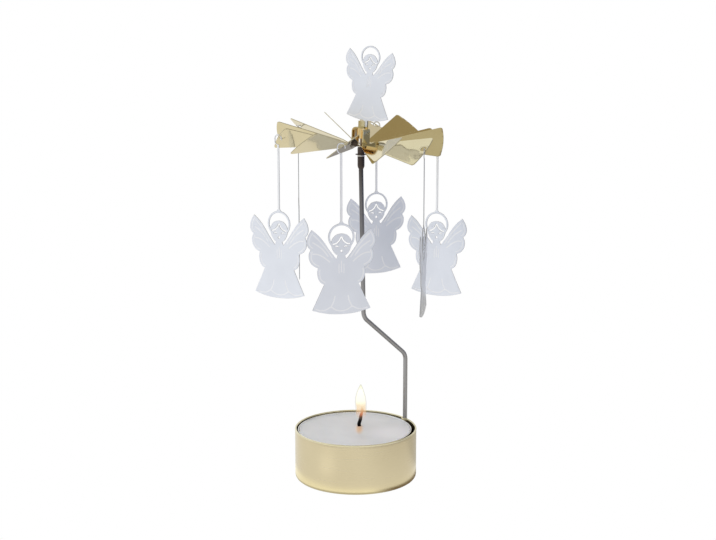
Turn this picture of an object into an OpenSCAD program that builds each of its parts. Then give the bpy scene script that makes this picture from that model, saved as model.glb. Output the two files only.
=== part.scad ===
// Angel chime carousel: a brass cup for one tealight, a bent steel wire that
// carries a needle, and a twisted-vane wheel that turns on the needle with six
// flat angels hanging from it and one standing on top.
// Millimetres. Origin: centre of the cup's underside, +Z up, -Y is the front.

/* [Candle cup] */
// Outer diameter of the cup
cup_d = 41; // [40:0.5:44]
// Height of the cup
cup_h = 17; // [16.8:0.1:19]
// Sheet thickness of the cup
cup_t = 0.4; // [0.3:0.05:0.5]
// Outer radius of the cup's bottom corner
cup_corner_r = 1.2; // [0.8:0.1:2]

/* [Tealight] */
// Diameter of the tealight's own cup
light_d = 38; // [36:0.25:38]
// Height of the tealight's own cup
light_h = 16; // [14:0.5:16]
// Diameter of the wick
wick_d = 1.2; // [0.8:0.1:1.6]
// Free height of the wick over the wax
wick_free = 5.7; // [3:0.1:7]

/* [Stand wire] */
// Diameter of the stand wire
wire_d = 1.5; // [1.2:0.1:1.6]
// Radius of the wire's two bends, at its centreline
wire_bend_r = 4; // [3:0.5:5]
// Height of the lower bend's corner
wire_low_z = 39.6; // [38:0.2:42]
// Height of the upper bend's corner
wire_high_z = 55; // [53:0.5:57]

/* [Pivot] */
// Outer diameter of the sleeve on top of the wire
sleeve_d = 2.3; // [2.1:0.1:2.4]
// Diameter of the collar on the sleeve
collar_d = 3.6; // [3.2:0.1:4]
// Diameter of the needle
needle_d = 0.8; // [0.6:0.05:0.9]
// Height of the needle's point
pivot_z = 118; // [117:0.5:119]

/* [Vane wheel] */
// Diameter over the vane tips, measured in the flat sheet
wheel_d = 55.2; // [54.6:0.2:56]
// Sheet thickness of the wheel
wheel_t = 0.25; // [0.2:0.05:0.3]
// Width of a vane at its tip
vane_w = 12.8; // [11:0.2:13.2]
// Diameter of the hole that a hook hangs in
hook_hole_d = 1.9; // [1.9:0.05:2]
// Diameter of the flat hub
hub_d = 8.4; // [7.8:0.2:9]

/* [Bearing bridge] */
// Width of the strap
bridge_w = 3.7; // [3.4:0.1:3.8]
// Outer span of the strap
bridge_span = 4.7; // [4.6:0.05:4.8]
// Sheet thickness of the strap
bridge_t = 0.35; // [0.25:0.05:0.4]

/* [Angels] */
// Sheet thickness of the angels
angel_t = 0.25; // [0.15:0.05:0.25]
// Length from the hook's seat to the top of the halo
hanger_l = 23.4; // [22:0.2:24]
// Width of the hanger strip
strip_w = 0.7; // [0.5:0.05:0.9]
// Size of the top angel against the hanging ones
top_scale = 0.84; // [0.8:0.01:0.9]
// Width of the hook's strip
hook_w = 0.38; // [0.3:0.02:0.38]

/* [Hidden] */
$fn = 64;

brass = "#cdbb86";
dark_steel = "#55524e";
steel = "#8f8d8a";
white = "#d9dee8";

cup_r = cup_d / 2;
wire_r = wire_d / 2;
// The wire stands in the line of the cup's wall, behind and to the right.
wire_az = 33;
wire_ring = cup_r - 0.16;
wire_x = wire_ring * cos(wire_az);
wire_y = wire_ring * sin(wire_az);
wire_foot_z = 3;
// Play between a pin and the hole it sits in.
slip = 0.02;

pivot = [1.76, 0, pivot_z];
wire_top_z = 109;
upper = [2.6, 0, wire_high_z];
lower = [wire_x, wire_y, wire_low_z];

// The wheel rocks on the needle's point: it stands a little lower in front and
// on the right, as it comes to rest.
tilt_front = 4.35;
tilt_right = 2.2;
// Where the hub's centre lies from the needle, in the wheel's own plane.
hub_drop = 5.5;
wheel_off = [-0.4, -0.3];

wheel_r = wheel_d / 2;
neck_r = 4.6;
vane_az = -11.5;
// Height of the tips over the hub, and how each bent vane differs from it,
// in order from the front one to the right.
vane_rise = 2.4;
vane_twist = [39, 39, 37, 39, 38, 31, 27, 42, 35, 45, 38, 38];
vane_lift = [0.9, 0, -1.1, 0.2, -2, 1.5, 0.3, 0.5, -0.2, -0.5, 0, 0.4];
vane_shift = [0.2, 0.5, -0.3, 1.2, -0.2, 1.1, -0.8, -0.9, 0.8, 0.5, 0, 0.5];
// Each hook goes through a hole near its vane's upper corner and down outside
// the tip, so that it hangs from the narrow web between them.
hook_web = 0.36;
hole_r0 = wheel_r - hook_web - hook_hole_d / 2;
hole_t = 1.1;
hook_in = 1;
seat_r0 = wheel_r - hook_web / 2;

// The hooks' facing, one for each hanging angel, from the front to the right:
// the direction of the hook's plane that points in over the vane.
hook_vane = [0, 2, 4, 6, 8, 10];
hook_face = [14, 81, 152, 200, -87, -28];

bridge_face = -35;
// The top angel stands beside the needle's line and leans a little.
top_face = -31;
top_shift = 2.1;
top_lean = 1.3;

// ---------------------------------------------------------------- functions
function az(i) = vane_az + 30 * i + vane_shift[i];
function lift_angle(i) = asin((vane_rise + vane_lift[i]) / (wheel_r - neck_r));
function rot_z(v, a) = [v[0] * cos(a) - v[1] * sin(a), v[0] * sin(a) + v[1] * cos(a), v[2]];
function tilted(v) =
    let (y = v[1] * cos(tilt_front) - v[2] * sin(tilt_front),
         z = v[1] * sin(tilt_front) + v[2] * cos(tilt_front))
    [v[0] * cos(tilt_right) + z * sin(tilt_right), y, z * cos(tilt_right) - v[0] * sin(tilt_right)];
// A point of vane i at radius r of the flat sheet, u beside its middle line.
function on_vane(i, r, u) =
    let (e = lift_angle(i), l = r - neck_r, w = vane_twist[i],
         p = rot_z([neck_r + l * cos(e) - u * sin(w) * sin(e), u * cos(w),
                    l * sin(e) + u * sin(w) * cos(e)], az(i) - 90))
    pivot + tilted(p + [wheel_off[0], wheel_off[1], -hub_drop]);
// The angle between a hook's plane and its vane's radius.
function hook_beta(k) =
    acos(abs(cos(hook_face[k] - az(hook_vane[k]) + 90)));
function seat(k) = let (i = hook_vane[k])
    on_vane(i, seat_r0, hole_t - (hook_in + hook_w / 2) * sin(hook_beta(k)) / cos(vane_twist[i]));

// Smooth curve through hand-placed points.
function cr(p0, p1, p2, p3, t) =
    0.5 * ((2 * p1) + (p2 - p0) * t + (2 * p0 - 5 * p1 + 4 * p2 - p3) * t * t
           + (3 * p1 - p0 - 3 * p2 + p3) * t * t * t);
function smooth(p, n) = let (m = len(p) - 1)
    [for (i = [0 : m - 1]) for (j = [0 : n - 1])
        cr(p[max(i - 1, 0)], p[i], p[i + 1], p[min(i + 2, m)], j / n), p[m]];
function unit(v) = v / max(norm(v), 0.0001);
function side(p, i) = let (m = len(p) - 1, d = unit(p[min(i + 1, m)] - p[max(i - 1, 0)])) [-d[1], d[0]];
// A ribbon of width w along a curve.
function ribbon(p, w) = concat(
    [for (i = [0 : len(p) - 1]) p[i] + side(p, i) * w / 2],
    [for (i = [len(p) - 1 : -1 : 0]) p[i] - side(p, i) * w / 2]);

// ------------------------------------------------------------------- angel
// Half outline of the angel, from the neck round the wing and down the dress
// to the middle of the hem. Zero is the top of the halo.
wing_in = [[1.6, -11.1], [3.75, -8.3], [5.5, -5.7], [7.3, -3.5], [9.35, -1.75]];
lobe_1 = [[9.35, -1.75], [10.5, -3.6], [10.95, -5.6], [10.5, -7.1], [9.7, -7.95]];
lobe_2 = [[9.7, -7.95], [10.3, -9.4], [10.1, -11.3], [9, -12.9], [7.4, -13.75]];
lobe_3 = [[7.4, -13.75], [7.65, -15.2], [7.35, -17.1], [6.5, -18.4], [5.5, -18.95]];
dress = [[5.5, -18.95], [7.3, -22.8], [9.3, -27]];
hem = [[9.3, -27], [6.4, -27.85], [3.2, -28.4], [0, -28.55]];
head = [[0, -3.1], [1.8, -3.6], [3.05, -5.1], [3.2, -6.8], [2.6, -8.6], [1.4, -9.9], [0, -10.3]];

function half_body() = concat(
    [[0, -9.2], [0.95, -9.5], [1.25, -10.3]],
    smooth(wing_in, 2), smooth(lobe_1, 2), smooth(lobe_2, 2), smooth(lobe_3, 2),
    smooth(dress, 2), smooth(hem, 2));

parting = [[0.05, -4.1], [0.7, -5.4], [1.7, -6.2], [2.75, -6.5]];
eye = [[0.8, -7.35], [1.4, -7.05], [2.05, -7.3]];
feather = [[2.9, -10.6], [4.95, -7.6], [7, -5.2], [8.9, -3.3]];
feather_2 = [[3.6, -12], [5.6, -10.4], [7.6, -9.4], [9.2, -9.3]];
chest = [[0, -11.6], [0, -13.4], [0, -15.3]];
fold = [[2.1, -22.6], [2.5, -24.4], [3.4, -26.2]];
scallop = [[-8.4, -26.6], [-5.6, -27.1], [-3.4, -26.3], [0, -27.5], [3.4, -26.3], [5.6, -27.1], [8.4, -26.6]];
halo_r = 4.2;
halo_w = 0.6;

module both() { children(); mirror([1, 0, 0]) children(); }

module angel_flat() {
    difference() {
        union() {
            both() polygon(half_body());
            both() polygon(smooth(head, 3));
            translate([0, -halo_r]) difference() { circle(halo_r); circle(halo_r - halo_w); }
        }
        both() polygon(ribbon(smooth(parting, 2), 0.42));
        both() polygon(ribbon(smooth(eye, 2), 0.34));
        translate([0, -8.6]) circle(0.38, $fn = 32);
    }
}

module engraving_flat() {
    both() polygon(ribbon(smooth(feather, 2), 0.3));
    both() polygon(ribbon(smooth(feather_2, 2), 0.3));
    both() polygon(ribbon(smooth(fold, 1), 0.3));
    polygon(ribbon(chest, 0.3));
    polygon(ribbon(smooth(scallop, 1), 0.3));
}

// The angel stands upright in the X-Z plane, its halo's top at the origin.
module angel_plate(t) {
    difference() {
        rotate([90, 0, 0]) linear_extrude(t, center = true) angel_flat();
        for (s = [-1, 1])
            translate([0, s * t / 2, 0]) rotate([90, 0, 0])
                linear_extrude(0.16, center = true) engraving_flat();
    }
}

// Height of the hook's upper arc over its seat, so that it clears the slanting
// web of its vane.
function hook_c(k) =
    let (i = hook_vane[k], tw = vane_twist[i], bb = hook_beta(k),
         e = sqrt(pow(cos(bb), 2) + pow(sin(bb) / cos(tw), 2)),
         l = hook_web / 2 / cos(bb) * e + 0.1,
         s = atan(sin(bb) * tan(tw)), h = wheel_t / 2 + 0.05,
         ax = min(l * cos(s) + h * sin(s), hook_in - 0.02), ay = l * sin(s) + h * cos(s),
         bx = min(l * cos(s) - h * sin(s), hook_in - 0.02), by = h * cos(s) - l * sin(s))
    max(ay - sqrt(hook_in * hook_in - ax * ax), by - sqrt(hook_in * hook_in - bx * bx)) + 0.32;

module hook_flat(c) {
    ro = hook_in + hook_w;
    // upper arc, two sides and lower arc, open at the lower inner side
    translate([0, c]) difference() {
        circle(ro);
        circle(hook_in);
        translate([-ro - 1, -2 * ro]) square([2 * ro + 2, 2 * ro]);
    }
    translate([-ro, c - 0.75]) square([hook_w, 0.76]);
    translate([hook_in, c - 0.45]) square([hook_w, 0.46]);
    translate([0, c - 0.75]) difference() {
        circle(ro);
        circle(hook_in);
        translate([-ro - 1, 0]) square([2 * ro + 2, 2 * ro]);
        translate([0.2, -2 * ro]) square([2 * ro, 3 * ro]);
    }
}

module hanging_angel(k) {
    c = hook_c(k);
    zb = c - 0.75 - hook_in;
    translate(seat(k)) rotate([0, 0, hook_face[k]]) {
        rotate([90, 0, 0]) linear_extrude(angel_t, center = true) {
            hook_flat(c);
            translate([-strip_w / 2, -hanger_l - 0.3])
                square([strip_w, hanger_l + 0.3 + zb - 0.1]);
            translate([0, -hanger_l]) polygon([[-1.3, -0.3], [-strip_w / 2, 0.6], [strip_w / 2, 0.6], [1.3, -0.3]]);
        }
        translate([0, 0, -hanger_l]) angel_plate(angel_t);
    }
}

// -------------------------------------------------------------------- cup
module cup_profile(r, h, c) {
    square([r - c, h]);
    translate([0, c]) square([r, h - c]);
    translate([r - c, c]) circle(c);
}

// Half tubes pressed out of the wall, which hold the wire: two lie inside it
// and one outside.
module strap(z0, z1, out) {
    o = wire_r + slip + cup_t;
    translate([wire_x, wire_y, z0]) rotate([0, 0, wire_az]) difference() {
        cylinder(r = o, h = z1 - z0);
        translate([0, 0, -1]) cylinder(r = wire_r + slip, h = z1 - z0 + 2);
        translate([out ? -4 : 0.02, -4, -1]) cube([out ? 3.98 : 4, 8, z1 - z0 + 2]);
    }
}

module candle_cup() {
    half_gap = wire_r + slip + cup_t / 2;
    color(brass) {
        difference() {
            union() {
                rotate_extrude() difference() {
                    cup_profile(cup_r, cup_h - 0.3, cup_corner_r);
                    translate([0, cup_t]) cup_profile(cup_r - cup_t, cup_h, cup_corner_r - cup_t);
                    translate([-5, -1]) square([5, cup_h + 2]);
                }
                rotate_extrude() translate([cup_r - 0.26, cup_h - 0.32]) circle(0.32, $fn = 32);
            }
            // the slots that free the straps
            rotate([0, 0, wire_az]) {
                translate([cup_r - 3, -half_gap, wire_foot_z]) cube([4, 2 * half_gap, cup_h]);
                for (z = [wire_foot_z, 7.4, 12.2])
                    translate([cup_r - 3, -1.8, z - 0.15]) cube([4, 3.6, 0.3]);
            }
        }
        strap(wire_foot_z + 0.25, 7.15, false);
        strap(7.65, 11.95, true);
        strap(12.45, cup_h - 0.12, false);
    }
}

// ------------------------------------------------------------------- wire
// Angle of the slanting part over the horizontal, and the length that a bend
// takes from each straight part.
flat_run = norm([lower[0] - upper[0], lower[1] - upper[1]]);
slant = atan((upper[2] - lower[2]) / flat_run);
turn = 90 - slant;
tang = wire_bend_r * tan(turn / 2);
slant_az = atan2(upper[1] - lower[1], upper[0] - lower[0]);

module rod(a, b, r) {
    d = b - a;
    l = norm(d);
    translate(a) rotate([0, acos(d[2] / l), atan2(d[1], d[0])]) cylinder(r = r, h = l);
}

module stand_wire() {
    s = [cos(slant_az) * cos(slant), sin(slant_az) * cos(slant), sin(slant)];
    color(steel) {
        // foot, rising in the straps
        translate([wire_x, wire_y, wire_foot_z + 0.2]) cylinder(r = wire_r, h = wire_low_z - tang - wire_foot_z - 0.2);
        // lower bend
        translate([lower[0], lower[1], lower[2] - tang]) rotate([0, 0, slant_az])
            translate([wire_bend_r, 0, 0]) rotate([90, 0, 0]) rotate([0, 0, 180 - turn])
                rotate_extrude(angle = turn) translate([wire_bend_r, 0]) circle(wire_r);
        // slanting part
        rod(lower + s * tang, upper - s * tang, wire_r);
        // upper bend
        translate([upper[0], upper[1], upper[2] + tang]) rotate([0, 0, slant_az])
            translate([-wire_bend_r, 0, 0]) rotate([90, 0, 0]) rotate([0, 0, -turn])
                rotate_extrude(angle = turn) translate([wire_bend_r, 0]) circle(wire_r);
        // upper part, leaning a little to the needle's line
        translate([upper[0], upper[1], upper[2] + tang]) sphere(wire_r + 0.01);
        rod([upper[0], upper[1], upper[2] + tang], [pivot[0], 0, 104], wire_r);
        translate([pivot[0], 0, 104]) sphere(wire_r + 0.01);
        translate([pivot[0], 0, 104]) cylinder(r = wire_r, h = wire_top_z - 104);
        // the bends and the straight parts are one wire
        for (q = [[lower - [0, 0, tang], [0, 0, 1]], [lower + s * tang, s],
                  [upper - s * tang, s], [upper + [0, 0, tang], [0, 0, 1]]])
            rod(q[0] - q[1] * 0.25, q[0] + q[1] * 0.25, wire_r * 0.8);
    }
}

// ------------------------------------------------------------------ pivot
module pivot_sleeve() {
    r = sleeve_d / 2;
    color(dark_steel) translate([pivot[0], pivot[1], 0]) difference() {
        union() {
            translate([0, 0, 105.4]) cylinder(r = r, h = 6);
            translate([0, 0, 104.6]) cylinder(r1 = wire_r + 0.12, r2 = r, h = 0.8);
            translate([0, 0, 111.4]) cylinder(r1 = r, r2 = r - 0.2, h = 0.2);
        }
        translate([0, 0, 104]) cylinder(r = wire_r + slip, h = wire_top_z + 0.05 - 104);
        translate([0, 0, 108]) cylinder(r = needle_d / 2 + slip, h = 5);
    }
}

module sleeve_collar() {
    color(dark_steel) translate([pivot[0], pivot[1], 109.1]) difference() {
        cylinder(r = collar_d / 2, h = 0.3);
        translate([0, 0, -1]) cylinder(r = sleeve_d / 2 + slip, h = 3);
    }
}

module pivot_needle() {
    color(steel) translate([pivot[0], pivot[1], 0]) {
        translate([0, 0, 109.1]) cylinder(r = needle_d / 2, h = pivot_z - 1.6 - 109.1);
        translate([0, 0, pivot_z - 1.6]) cylinder(r1 = needle_d / 2, r2 = 0.06, h = 1.56);
    }
}

// --------------------------------------------------------------- tealight
light_z = cup_t + 0.05;
light_r = light_d / 2;
light_t = 0.3;
wax_z = light_z + light_h - 0.35;
// The tealight lies a little to the left and the back in its cup.
light_at = [-0.35, 0.3];
wick_x = 1.2;
wick_y = 3.8;
wick_r = wick_d / 2;
sustainer_r = 6.5;

module tealight_cup() {
    color("#c9c9c6") translate([light_at[0], light_at[1], light_z]) rotate_extrude() difference() {
        cup_profile(light_r, light_h, 1);
        translate([0, light_t]) cup_profile(light_r - light_t, light_h, 0.7);
        translate([-5, -1]) square([5, light_h + 2]);
    }
}

module wax() {
    z0 = light_z + light_t;
    color("#dcdcdc") difference() {
        translate([light_at[0], light_at[1], z0]) rotate_extrude() difference() {
            cup_profile(light_r - light_t - 0.01, wax_z - z0, 0.7);
            translate([-5, -1]) square([5, light_h + 2]);
        }
        translate([wick_x, wick_y, z0 - 1]) cylinder(r = sustainer_r + 0.02, h = 1.27);
        translate([wick_x, wick_y, z0 - 1]) cylinder(r = 1.27, h = 3.52);
        translate([wick_x, wick_y, z0]) cylinder(r = wick_r + 0.01, h = light_h);
    }
}

module wick_sustainer() {
    color("#b8b8b4") translate([wick_x, wick_y, light_z + light_t]) difference() {
        union() {
            cylinder(r = sustainer_r, h = 0.25);
            cylinder(r = 1.25, h = 2.5);
        }
        translate([0, 0, 0.4]) cylinder(r = wick_r + 0.01, h = 4);
    }
}

module wick() {
    z0 = light_z + light_t + 0.42;
    color("#2b2420") {
        translate([wick_x, wick_y, z0]) cylinder(r = wick_r, h = wax_z + 0.8 - z0);
        translate([wick_x, wick_y, wax_z + 0.8]) sphere(wick_r + 0.02);
        rod([wick_x, wick_y, wax_z + 0.8], [wick_x + 1, wick_y, wax_z + wick_free - wick_r], wick_r);
        translate([wick_x + 1, wick_y, wax_z + wick_free - wick_r]) sphere(wick_r + 0.02);
    }
}

// ------------------------------------------------------------------ rotor
module on_wheel() {
    translate(pivot) rotate([tilt_front, tilt_right, 0]) children();
}

tip_corner = 0.9;
tip_half = asin(vane_w / 2 / wheel_r);
// One vane in its flat sheet: narrow at the neck, with an arc for its tip and
// rounded corners.
function vane_points() =
    let (rc = wheel_r - tip_corner, ac = tip_half - asin(tip_corner / rc),
         c = [rc * cos(ac), rc * sin(ac)])
    concat([[neck_r - 0.3, 0.75]],
        [for (a = [90 + 15 : -22 : ac]) c + tip_corner * [cos(a), sin(a)]],
        [for (a = [ac : -ac / 4 : 0]) wheel_r * [cos(a), sin(a)]]);

module vane_flat() {
    p = vane_points();
    polygon(concat(p, [for (i = [len(p) - 2 : -1 : 0]) [p[i][0], -p[i][1]]]));
}

module vane(i) {
    rotate([0, 0, az(i) - 90]) {
        // neck, at half of the twist
        rotate([vane_twist[i] / 2, 0, 0])
            translate([hub_d / 2 - 0.8, -0.75, -wheel_t / 2]) cube([neck_r - hub_d / 2 + 1.6, 1.5, wheel_t]);
        translate([neck_r, 0, 0]) rotate([0, -lift_angle(i), 0]) rotate([vane_twist[i], 0, 0])
            translate([-neck_r, 0, -wheel_t / 2]) difference() {
                linear_extrude(wheel_t) vane_flat();
                if (i % 2 == 0)
                    translate([hole_r0, hole_t, -1]) cylinder(r = hook_hole_d / 2, h = 3);
            }
    }
}

module vane_wheel() {
    color(brass) on_wheel() difference() {
        translate([wheel_off[0], wheel_off[1], -hub_drop]) {
            translate([0, 0, -wheel_t / 2]) cylinder(r = hub_d / 2, h = wheel_t);
            for (i = [0 : 11]) vane(i);
        }
        translate([0, 0, -hub_drop - 2]) cylinder(r = 1.5, h = 4);
        // the slots for the bridge's feet
        rotate([0, 0, bridge_face]) for (s = [-1, 1])
            translate([s * (bridge_span / 2 - bridge_t / 2) - bridge_t / 2 - 0.05, -1.05, -hub_drop - 1])
                cube([bridge_t + 0.1, 2.1, 2]);
    }
}

// The strap's section: a flat top, rounded shoulders and two legs.
module bridge_section() {
    w = bridge_span / 2;
    h = hub_drop + 0.25 - wheel_t / 2 - 0.02;
    ro = 1.6;
    difference() {
        union() {
            translate([-w + ro, -ro]) square([2 * w - 2 * ro, ro]);
            translate([-w, -h]) square([2 * w, h - ro]);
            for (s = [-1, 1]) translate([s * (w - ro), -ro]) circle(ro);
        }
        bridge_hollow(bridge_t);
    }
}

// What lies deeper than t under the strap's outer face.
module bridge_hollow(t) {
    w = bridge_span / 2;
    ro = 1.6;
    translate([-w + ro, -ro]) square([2 * w - 2 * ro, ro - t]);
    translate([-w + t, -hub_drop - 2]) square([2 * (w - t), hub_drop + 2 - ro]);
    for (s = [-1, 1]) translate([s * (w - ro), -ro]) circle(ro - t);
}

module bearing_bridge() {
    top = 0.25;
    color(brass) on_wheel() rotate([0, 0, bridge_face]) difference() {
        union() {
            translate([0, 0, top]) rotate([90, 0, 0]) linear_extrude(bridge_w, center = true) bridge_section();
            // the bearing cup that hangs over the needle's point
            translate([0, 0, -3.5]) cylinder(r = 1.35, h = 3.6);
            for (s = [-1, 1]) {
                // the foot through the hub, folded out under it
                translate([s * (bridge_span / 2 - bridge_t / 2) - bridge_t / 2, -1, -hub_drop - wheel_t / 2 - bridge_t - 0.02])
                    cube([bridge_t, 2, bridge_t + wheel_t + 0.6]);
                translate([s > 0 ? bridge_span / 2 - bridge_t : -bridge_span / 2 - 0.7, -1, -hub_drop - wheel_t / 2 - bridge_t - 0.02])
                    cube([bridge_t + 0.7, 2, bridge_t]);
            }
            // the two lugs that pinch the top angel's tab, the rear one on the shoulder
            difference() {
                rotate([0, 0, top_face - bridge_face]) {
                    translate([-0.8, -angel_t / 2 - 0.01 - bridge_t, top - 0.05]) cube([2.2, bridge_t, 1.95]);
                    translate([0.65, angel_t / 2 + 0.01, top - 1]) cube([1.7, bridge_t, 2.95]);
                }
                translate([0, 0, top]) rotate([90, 0, 0]) linear_extrude(bridge_w + 1, center = true) bridge_hollow(bridge_t / 2);
            }
        }
        translate([0, 0, -4]) cylinder(r = 1, h = 3.75);
        // the seat that the needle's point turns in
        translate([0, 0, -0.3]) cylinder(r1 = 0.62, r2 = 0.1, h = 0.36);
    }
}

module top_angel() {
    h = 28.5 * top_scale;
    color(white) on_wheel() rotate([0, 0, top_face])
        translate([top_shift, 0, 2.4]) rotate([0, top_lean, 0]) {
            translate([0, 0, h]) scale(top_scale) angel_plate(angel_t / top_scale);
            translate([-1.2, -angel_t / 2, -2.1]) cube([1.4, angel_t, 3]);
        }
}

module angel_front() { color(white) hanging_angel(0); }
module angel_front_right() { color(white) hanging_angel(1); }
module angel_right() { color(white) hanging_angel(2); }
module angel_back() { color(white) hanging_angel(3); }
module angel_back_left() { color(white) hanging_angel(4); }
module angel_left() { color(white) hanging_angel(5); }

candle_cup();
stand_wire();
pivot_sleeve();
sleeve_collar();
pivot_needle();
tealight_cup();
wax();
wick();
wick_sustainer();
vane_wheel();
bearing_bridge();
top_angel();
angel_front();
angel_front_right();
angel_right();
angel_back();
angel_back_left();
angel_left();
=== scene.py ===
import math

import bmesh
import bpy
from mathutils import Matrix, Vector
from mathutils.geometry import delaunay_2d_cdt


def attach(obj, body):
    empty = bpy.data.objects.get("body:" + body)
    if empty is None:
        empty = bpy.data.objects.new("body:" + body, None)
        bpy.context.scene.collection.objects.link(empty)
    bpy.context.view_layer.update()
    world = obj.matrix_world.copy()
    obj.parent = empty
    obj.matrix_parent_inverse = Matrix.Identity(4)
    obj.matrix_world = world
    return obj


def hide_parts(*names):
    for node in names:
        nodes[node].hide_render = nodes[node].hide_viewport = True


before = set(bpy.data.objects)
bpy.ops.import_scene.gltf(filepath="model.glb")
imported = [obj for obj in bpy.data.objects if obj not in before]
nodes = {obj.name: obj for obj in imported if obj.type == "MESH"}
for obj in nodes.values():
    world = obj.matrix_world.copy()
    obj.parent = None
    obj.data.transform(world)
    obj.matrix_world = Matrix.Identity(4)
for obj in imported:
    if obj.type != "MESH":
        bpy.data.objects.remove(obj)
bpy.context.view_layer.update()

MM = 0.001
scene = bpy.context.scene


# ------------------------------------------------------------------ helpers
def mesh_object(name, verts, faces, material_ids=None, materials=(), smooth=False):
    """Verts are in millimetres."""
    me = bpy.data.meshes.new(name)
    me.from_pydata([Vector(v) * MM for v in verts], [], faces)
    for m in materials:
        me.materials.append(m)
    if material_ids:
        for p, m in zip(me.polygons, material_ids):
            p.material_index = m
    me.update()
    for p in me.polygons:
        p.use_smooth = smooth
    ob = bpy.data.objects.new(name, me)
    scene.collection.objects.link(ob)
    return ob


def catmull(p, n, closed=False):
    out = []
    m = len(p)
    last = m if closed else m - 1
    for i in range(last):
        if closed:
            a, b, c, d = p[(i - 1) % m], p[i], p[(i + 1) % m], p[(i + 2) % m]
        else:
            a, b, c, d = p[max(i - 1, 0)], p[i], p[i + 1], p[min(i + 2, m - 1)]
        for j in range(n):
            t = j / n
            out.append(tuple(
                0.5 * (2 * b[k] + (c[k] - a[k]) * t + (2 * a[k] - 5 * b[k] + 4 * c[k] - d[k]) * t * t
                       + (3 * b[k] - a[k] - 3 * c[k] + d[k]) * t ** 3) for k in range(2)))
    if not closed:
        out.append(tuple(p[-1]))
    return out


def ribbon(p, w0, w1=None, pointed=False):
    """Outline of a ribbon along a line; its width may taper to its ends."""
    w1 = w0 if w1 is None else w1
    m = len(p)
    left, right = [], []
    for i in range(m):
        a, b = p[max(i - 1, 0)], p[min(i + 1, m - 1)]
        dx, dy = b[0] - a[0], b[1] - a[1]
        n = math.hypot(dx, dy) or 1
        f = i / (m - 1)
        w = w0 + (w1 - w0) * f
        if pointed:
            w *= max(math.sin(math.pi * min(max(f, 0.04), 0.96)), 0.12) ** 0.6
        left.append((p[i][0] - dy / n * w / 2, p[i][1] + dx / n * w / 2))
        right.append((p[i][0] + dy / n * w / 2, p[i][1] - dx / n * w / 2))
    return left + right[::-1]


def circle(cx, cy, r, n=64):
    return [(cx + r * math.cos(2 * math.pi * i / n), cy + r * math.sin(2 * math.pi * i / n)) for i in range(n)]


def inside(poly, x, y):
    hit = False
    j = len(poly) - 1
    for i in range(len(poly)):
        xi, yi = poly[i]
        xj, yj = poly[j]
        if (yi > y) != (yj > y) and x < (xj - xi) * (y - yi) / (yj - yi) + xi:
            hit = not hit
        j = i
    return hit


class Region:
    """A closed outline with its box, for quick tests."""

    def __init__(self, poly):
        self.poly = poly
        self.x0 = min(p[0] for p in poly)
        self.x1 = max(p[0] for p in poly)
        self.y0 = min(p[1] for p in poly)
        self.y1 = max(p[1] for p in poly)

    def has(self, x, y):
        return self.x0 <= x <= self.x1 and self.y0 <= y <= self.y1 and inside(self.poly, x, y)


def cut_sheet(loops, test, extra=()):
    """Triangulates a flat sheet. loops are closed outlines that edges must follow, test(x, y)
    gives None outside the sheet, else the zone number. Returns points, triangles, zones."""
    pts, edges = [], []
    for loop in loops:
        s = len(pts)
        pts += [Vector((p[0], p[1])) for p in loop]
        edges += [(s + i, s + (i + 1) % len(loop)) for i in range(len(loop))]
    pts += [Vector((p[0], p[1])) for p in extra]
    v, _, f, _, _, _ = delaunay_2d_cdt(pts, edges, [], 0, 1e-5, True)
    tris, zones = [], []
    for t in f:
        if len(t) != 3:
            continue
        x = sum(v[i].x for i in t) / 3
        y = sum(v[i].y for i in t) / 3
        z = test(x, y)
        if z is not None:
            tris.append(tuple(t))
            zones.append(z)
    return [(p.x, p.y) for p in v], tris, zones


def plate(pts, tris, zones, t, depth, edge):
    """A flat plate in the X-Z plane with grooves where zones is 1. Its rim is rounded by edge.
    Returns verts, faces, material ids (0 face, 1 groove, 2 rim)."""
    uses = {}
    for tri, z in zip(tris, zones):
        a, b, c = tri
        for e in ((a, b), (b, c), (c, a)):
            uses.setdefault(frozenset(e), []).append((e, z))
    # where the plate ends, and how far in its face is drawn back there
    pull = {}
    for k, u in uses.items():
        if len(u) == 1:
            (a, b), _ = u[0]
            dx, dy = pts[b][0] - pts[a][0], pts[b][1] - pts[a][1]
            n = math.hypot(dx, dy) or 1
            for q in (a, b):
                s = pull.setdefault(q, [0, 0])
                s[0] += -dy / n
                s[1] += dx / n
    verts, faces, mats, index = [], [], [], {}

    def vert(i, z, drawn):
        key = (i, round(z, 5), drawn)
        if key not in index:
            x, y = pts[i]
            if drawn and i in pull:
                px, py = pull[i]
                n = math.hypot(px, py) or 1
                x += px / n * edge
                y += py / n * edge
            index[key] = len(verts)
            verts.append((x, z, y))
        return index[key]

    h, g = t / 2, t / 2 - depth
    for tri, zone in zip(tris, zones):
        lev = g if zone == 1 else h
        # CCW in x, y of the sheet is seen from -Y, the front
        faces.append(tuple(vert(i, -lev, True) for i in tri))
        mats.append(zone)
        faces.append(tuple(vert(i, lev, True) for i in reversed(tri)))
        mats.append(zone)
    for k, u in uses.items():
        if len(u) == 1:
            (a, b), zone = u[0]
            lev = g if zone == 1 else h
            rim = max(lev - edge, 0.01)
            rows = [(-lev, True), (-rim, False), (rim, False), (lev, True)]
            for (z0, d0), (z1, d1) in zip(rows, rows[1:]):
                faces.append((vert(b, z0, d0), vert(a, z0, d0), vert(a, z1, d1), vert(b, z1, d1)))
                mats.append(2)
        elif len(u) == 2 and u[0][1] != u[1][1]:
            # wall of a groove, seen from the groove
            e = u[0][0] if u[0][1] == 1 else u[1][0]
            a, b = e
            for s in (-1, 1):
                q = (vert(a, s * g, True), vert(b, s * g, True), vert(b, s * h, True), vert(a, s * h, True))
                faces.append(q if s > 0 else q[::-1])
                mats.append(1)
    return verts, faces, mats


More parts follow.
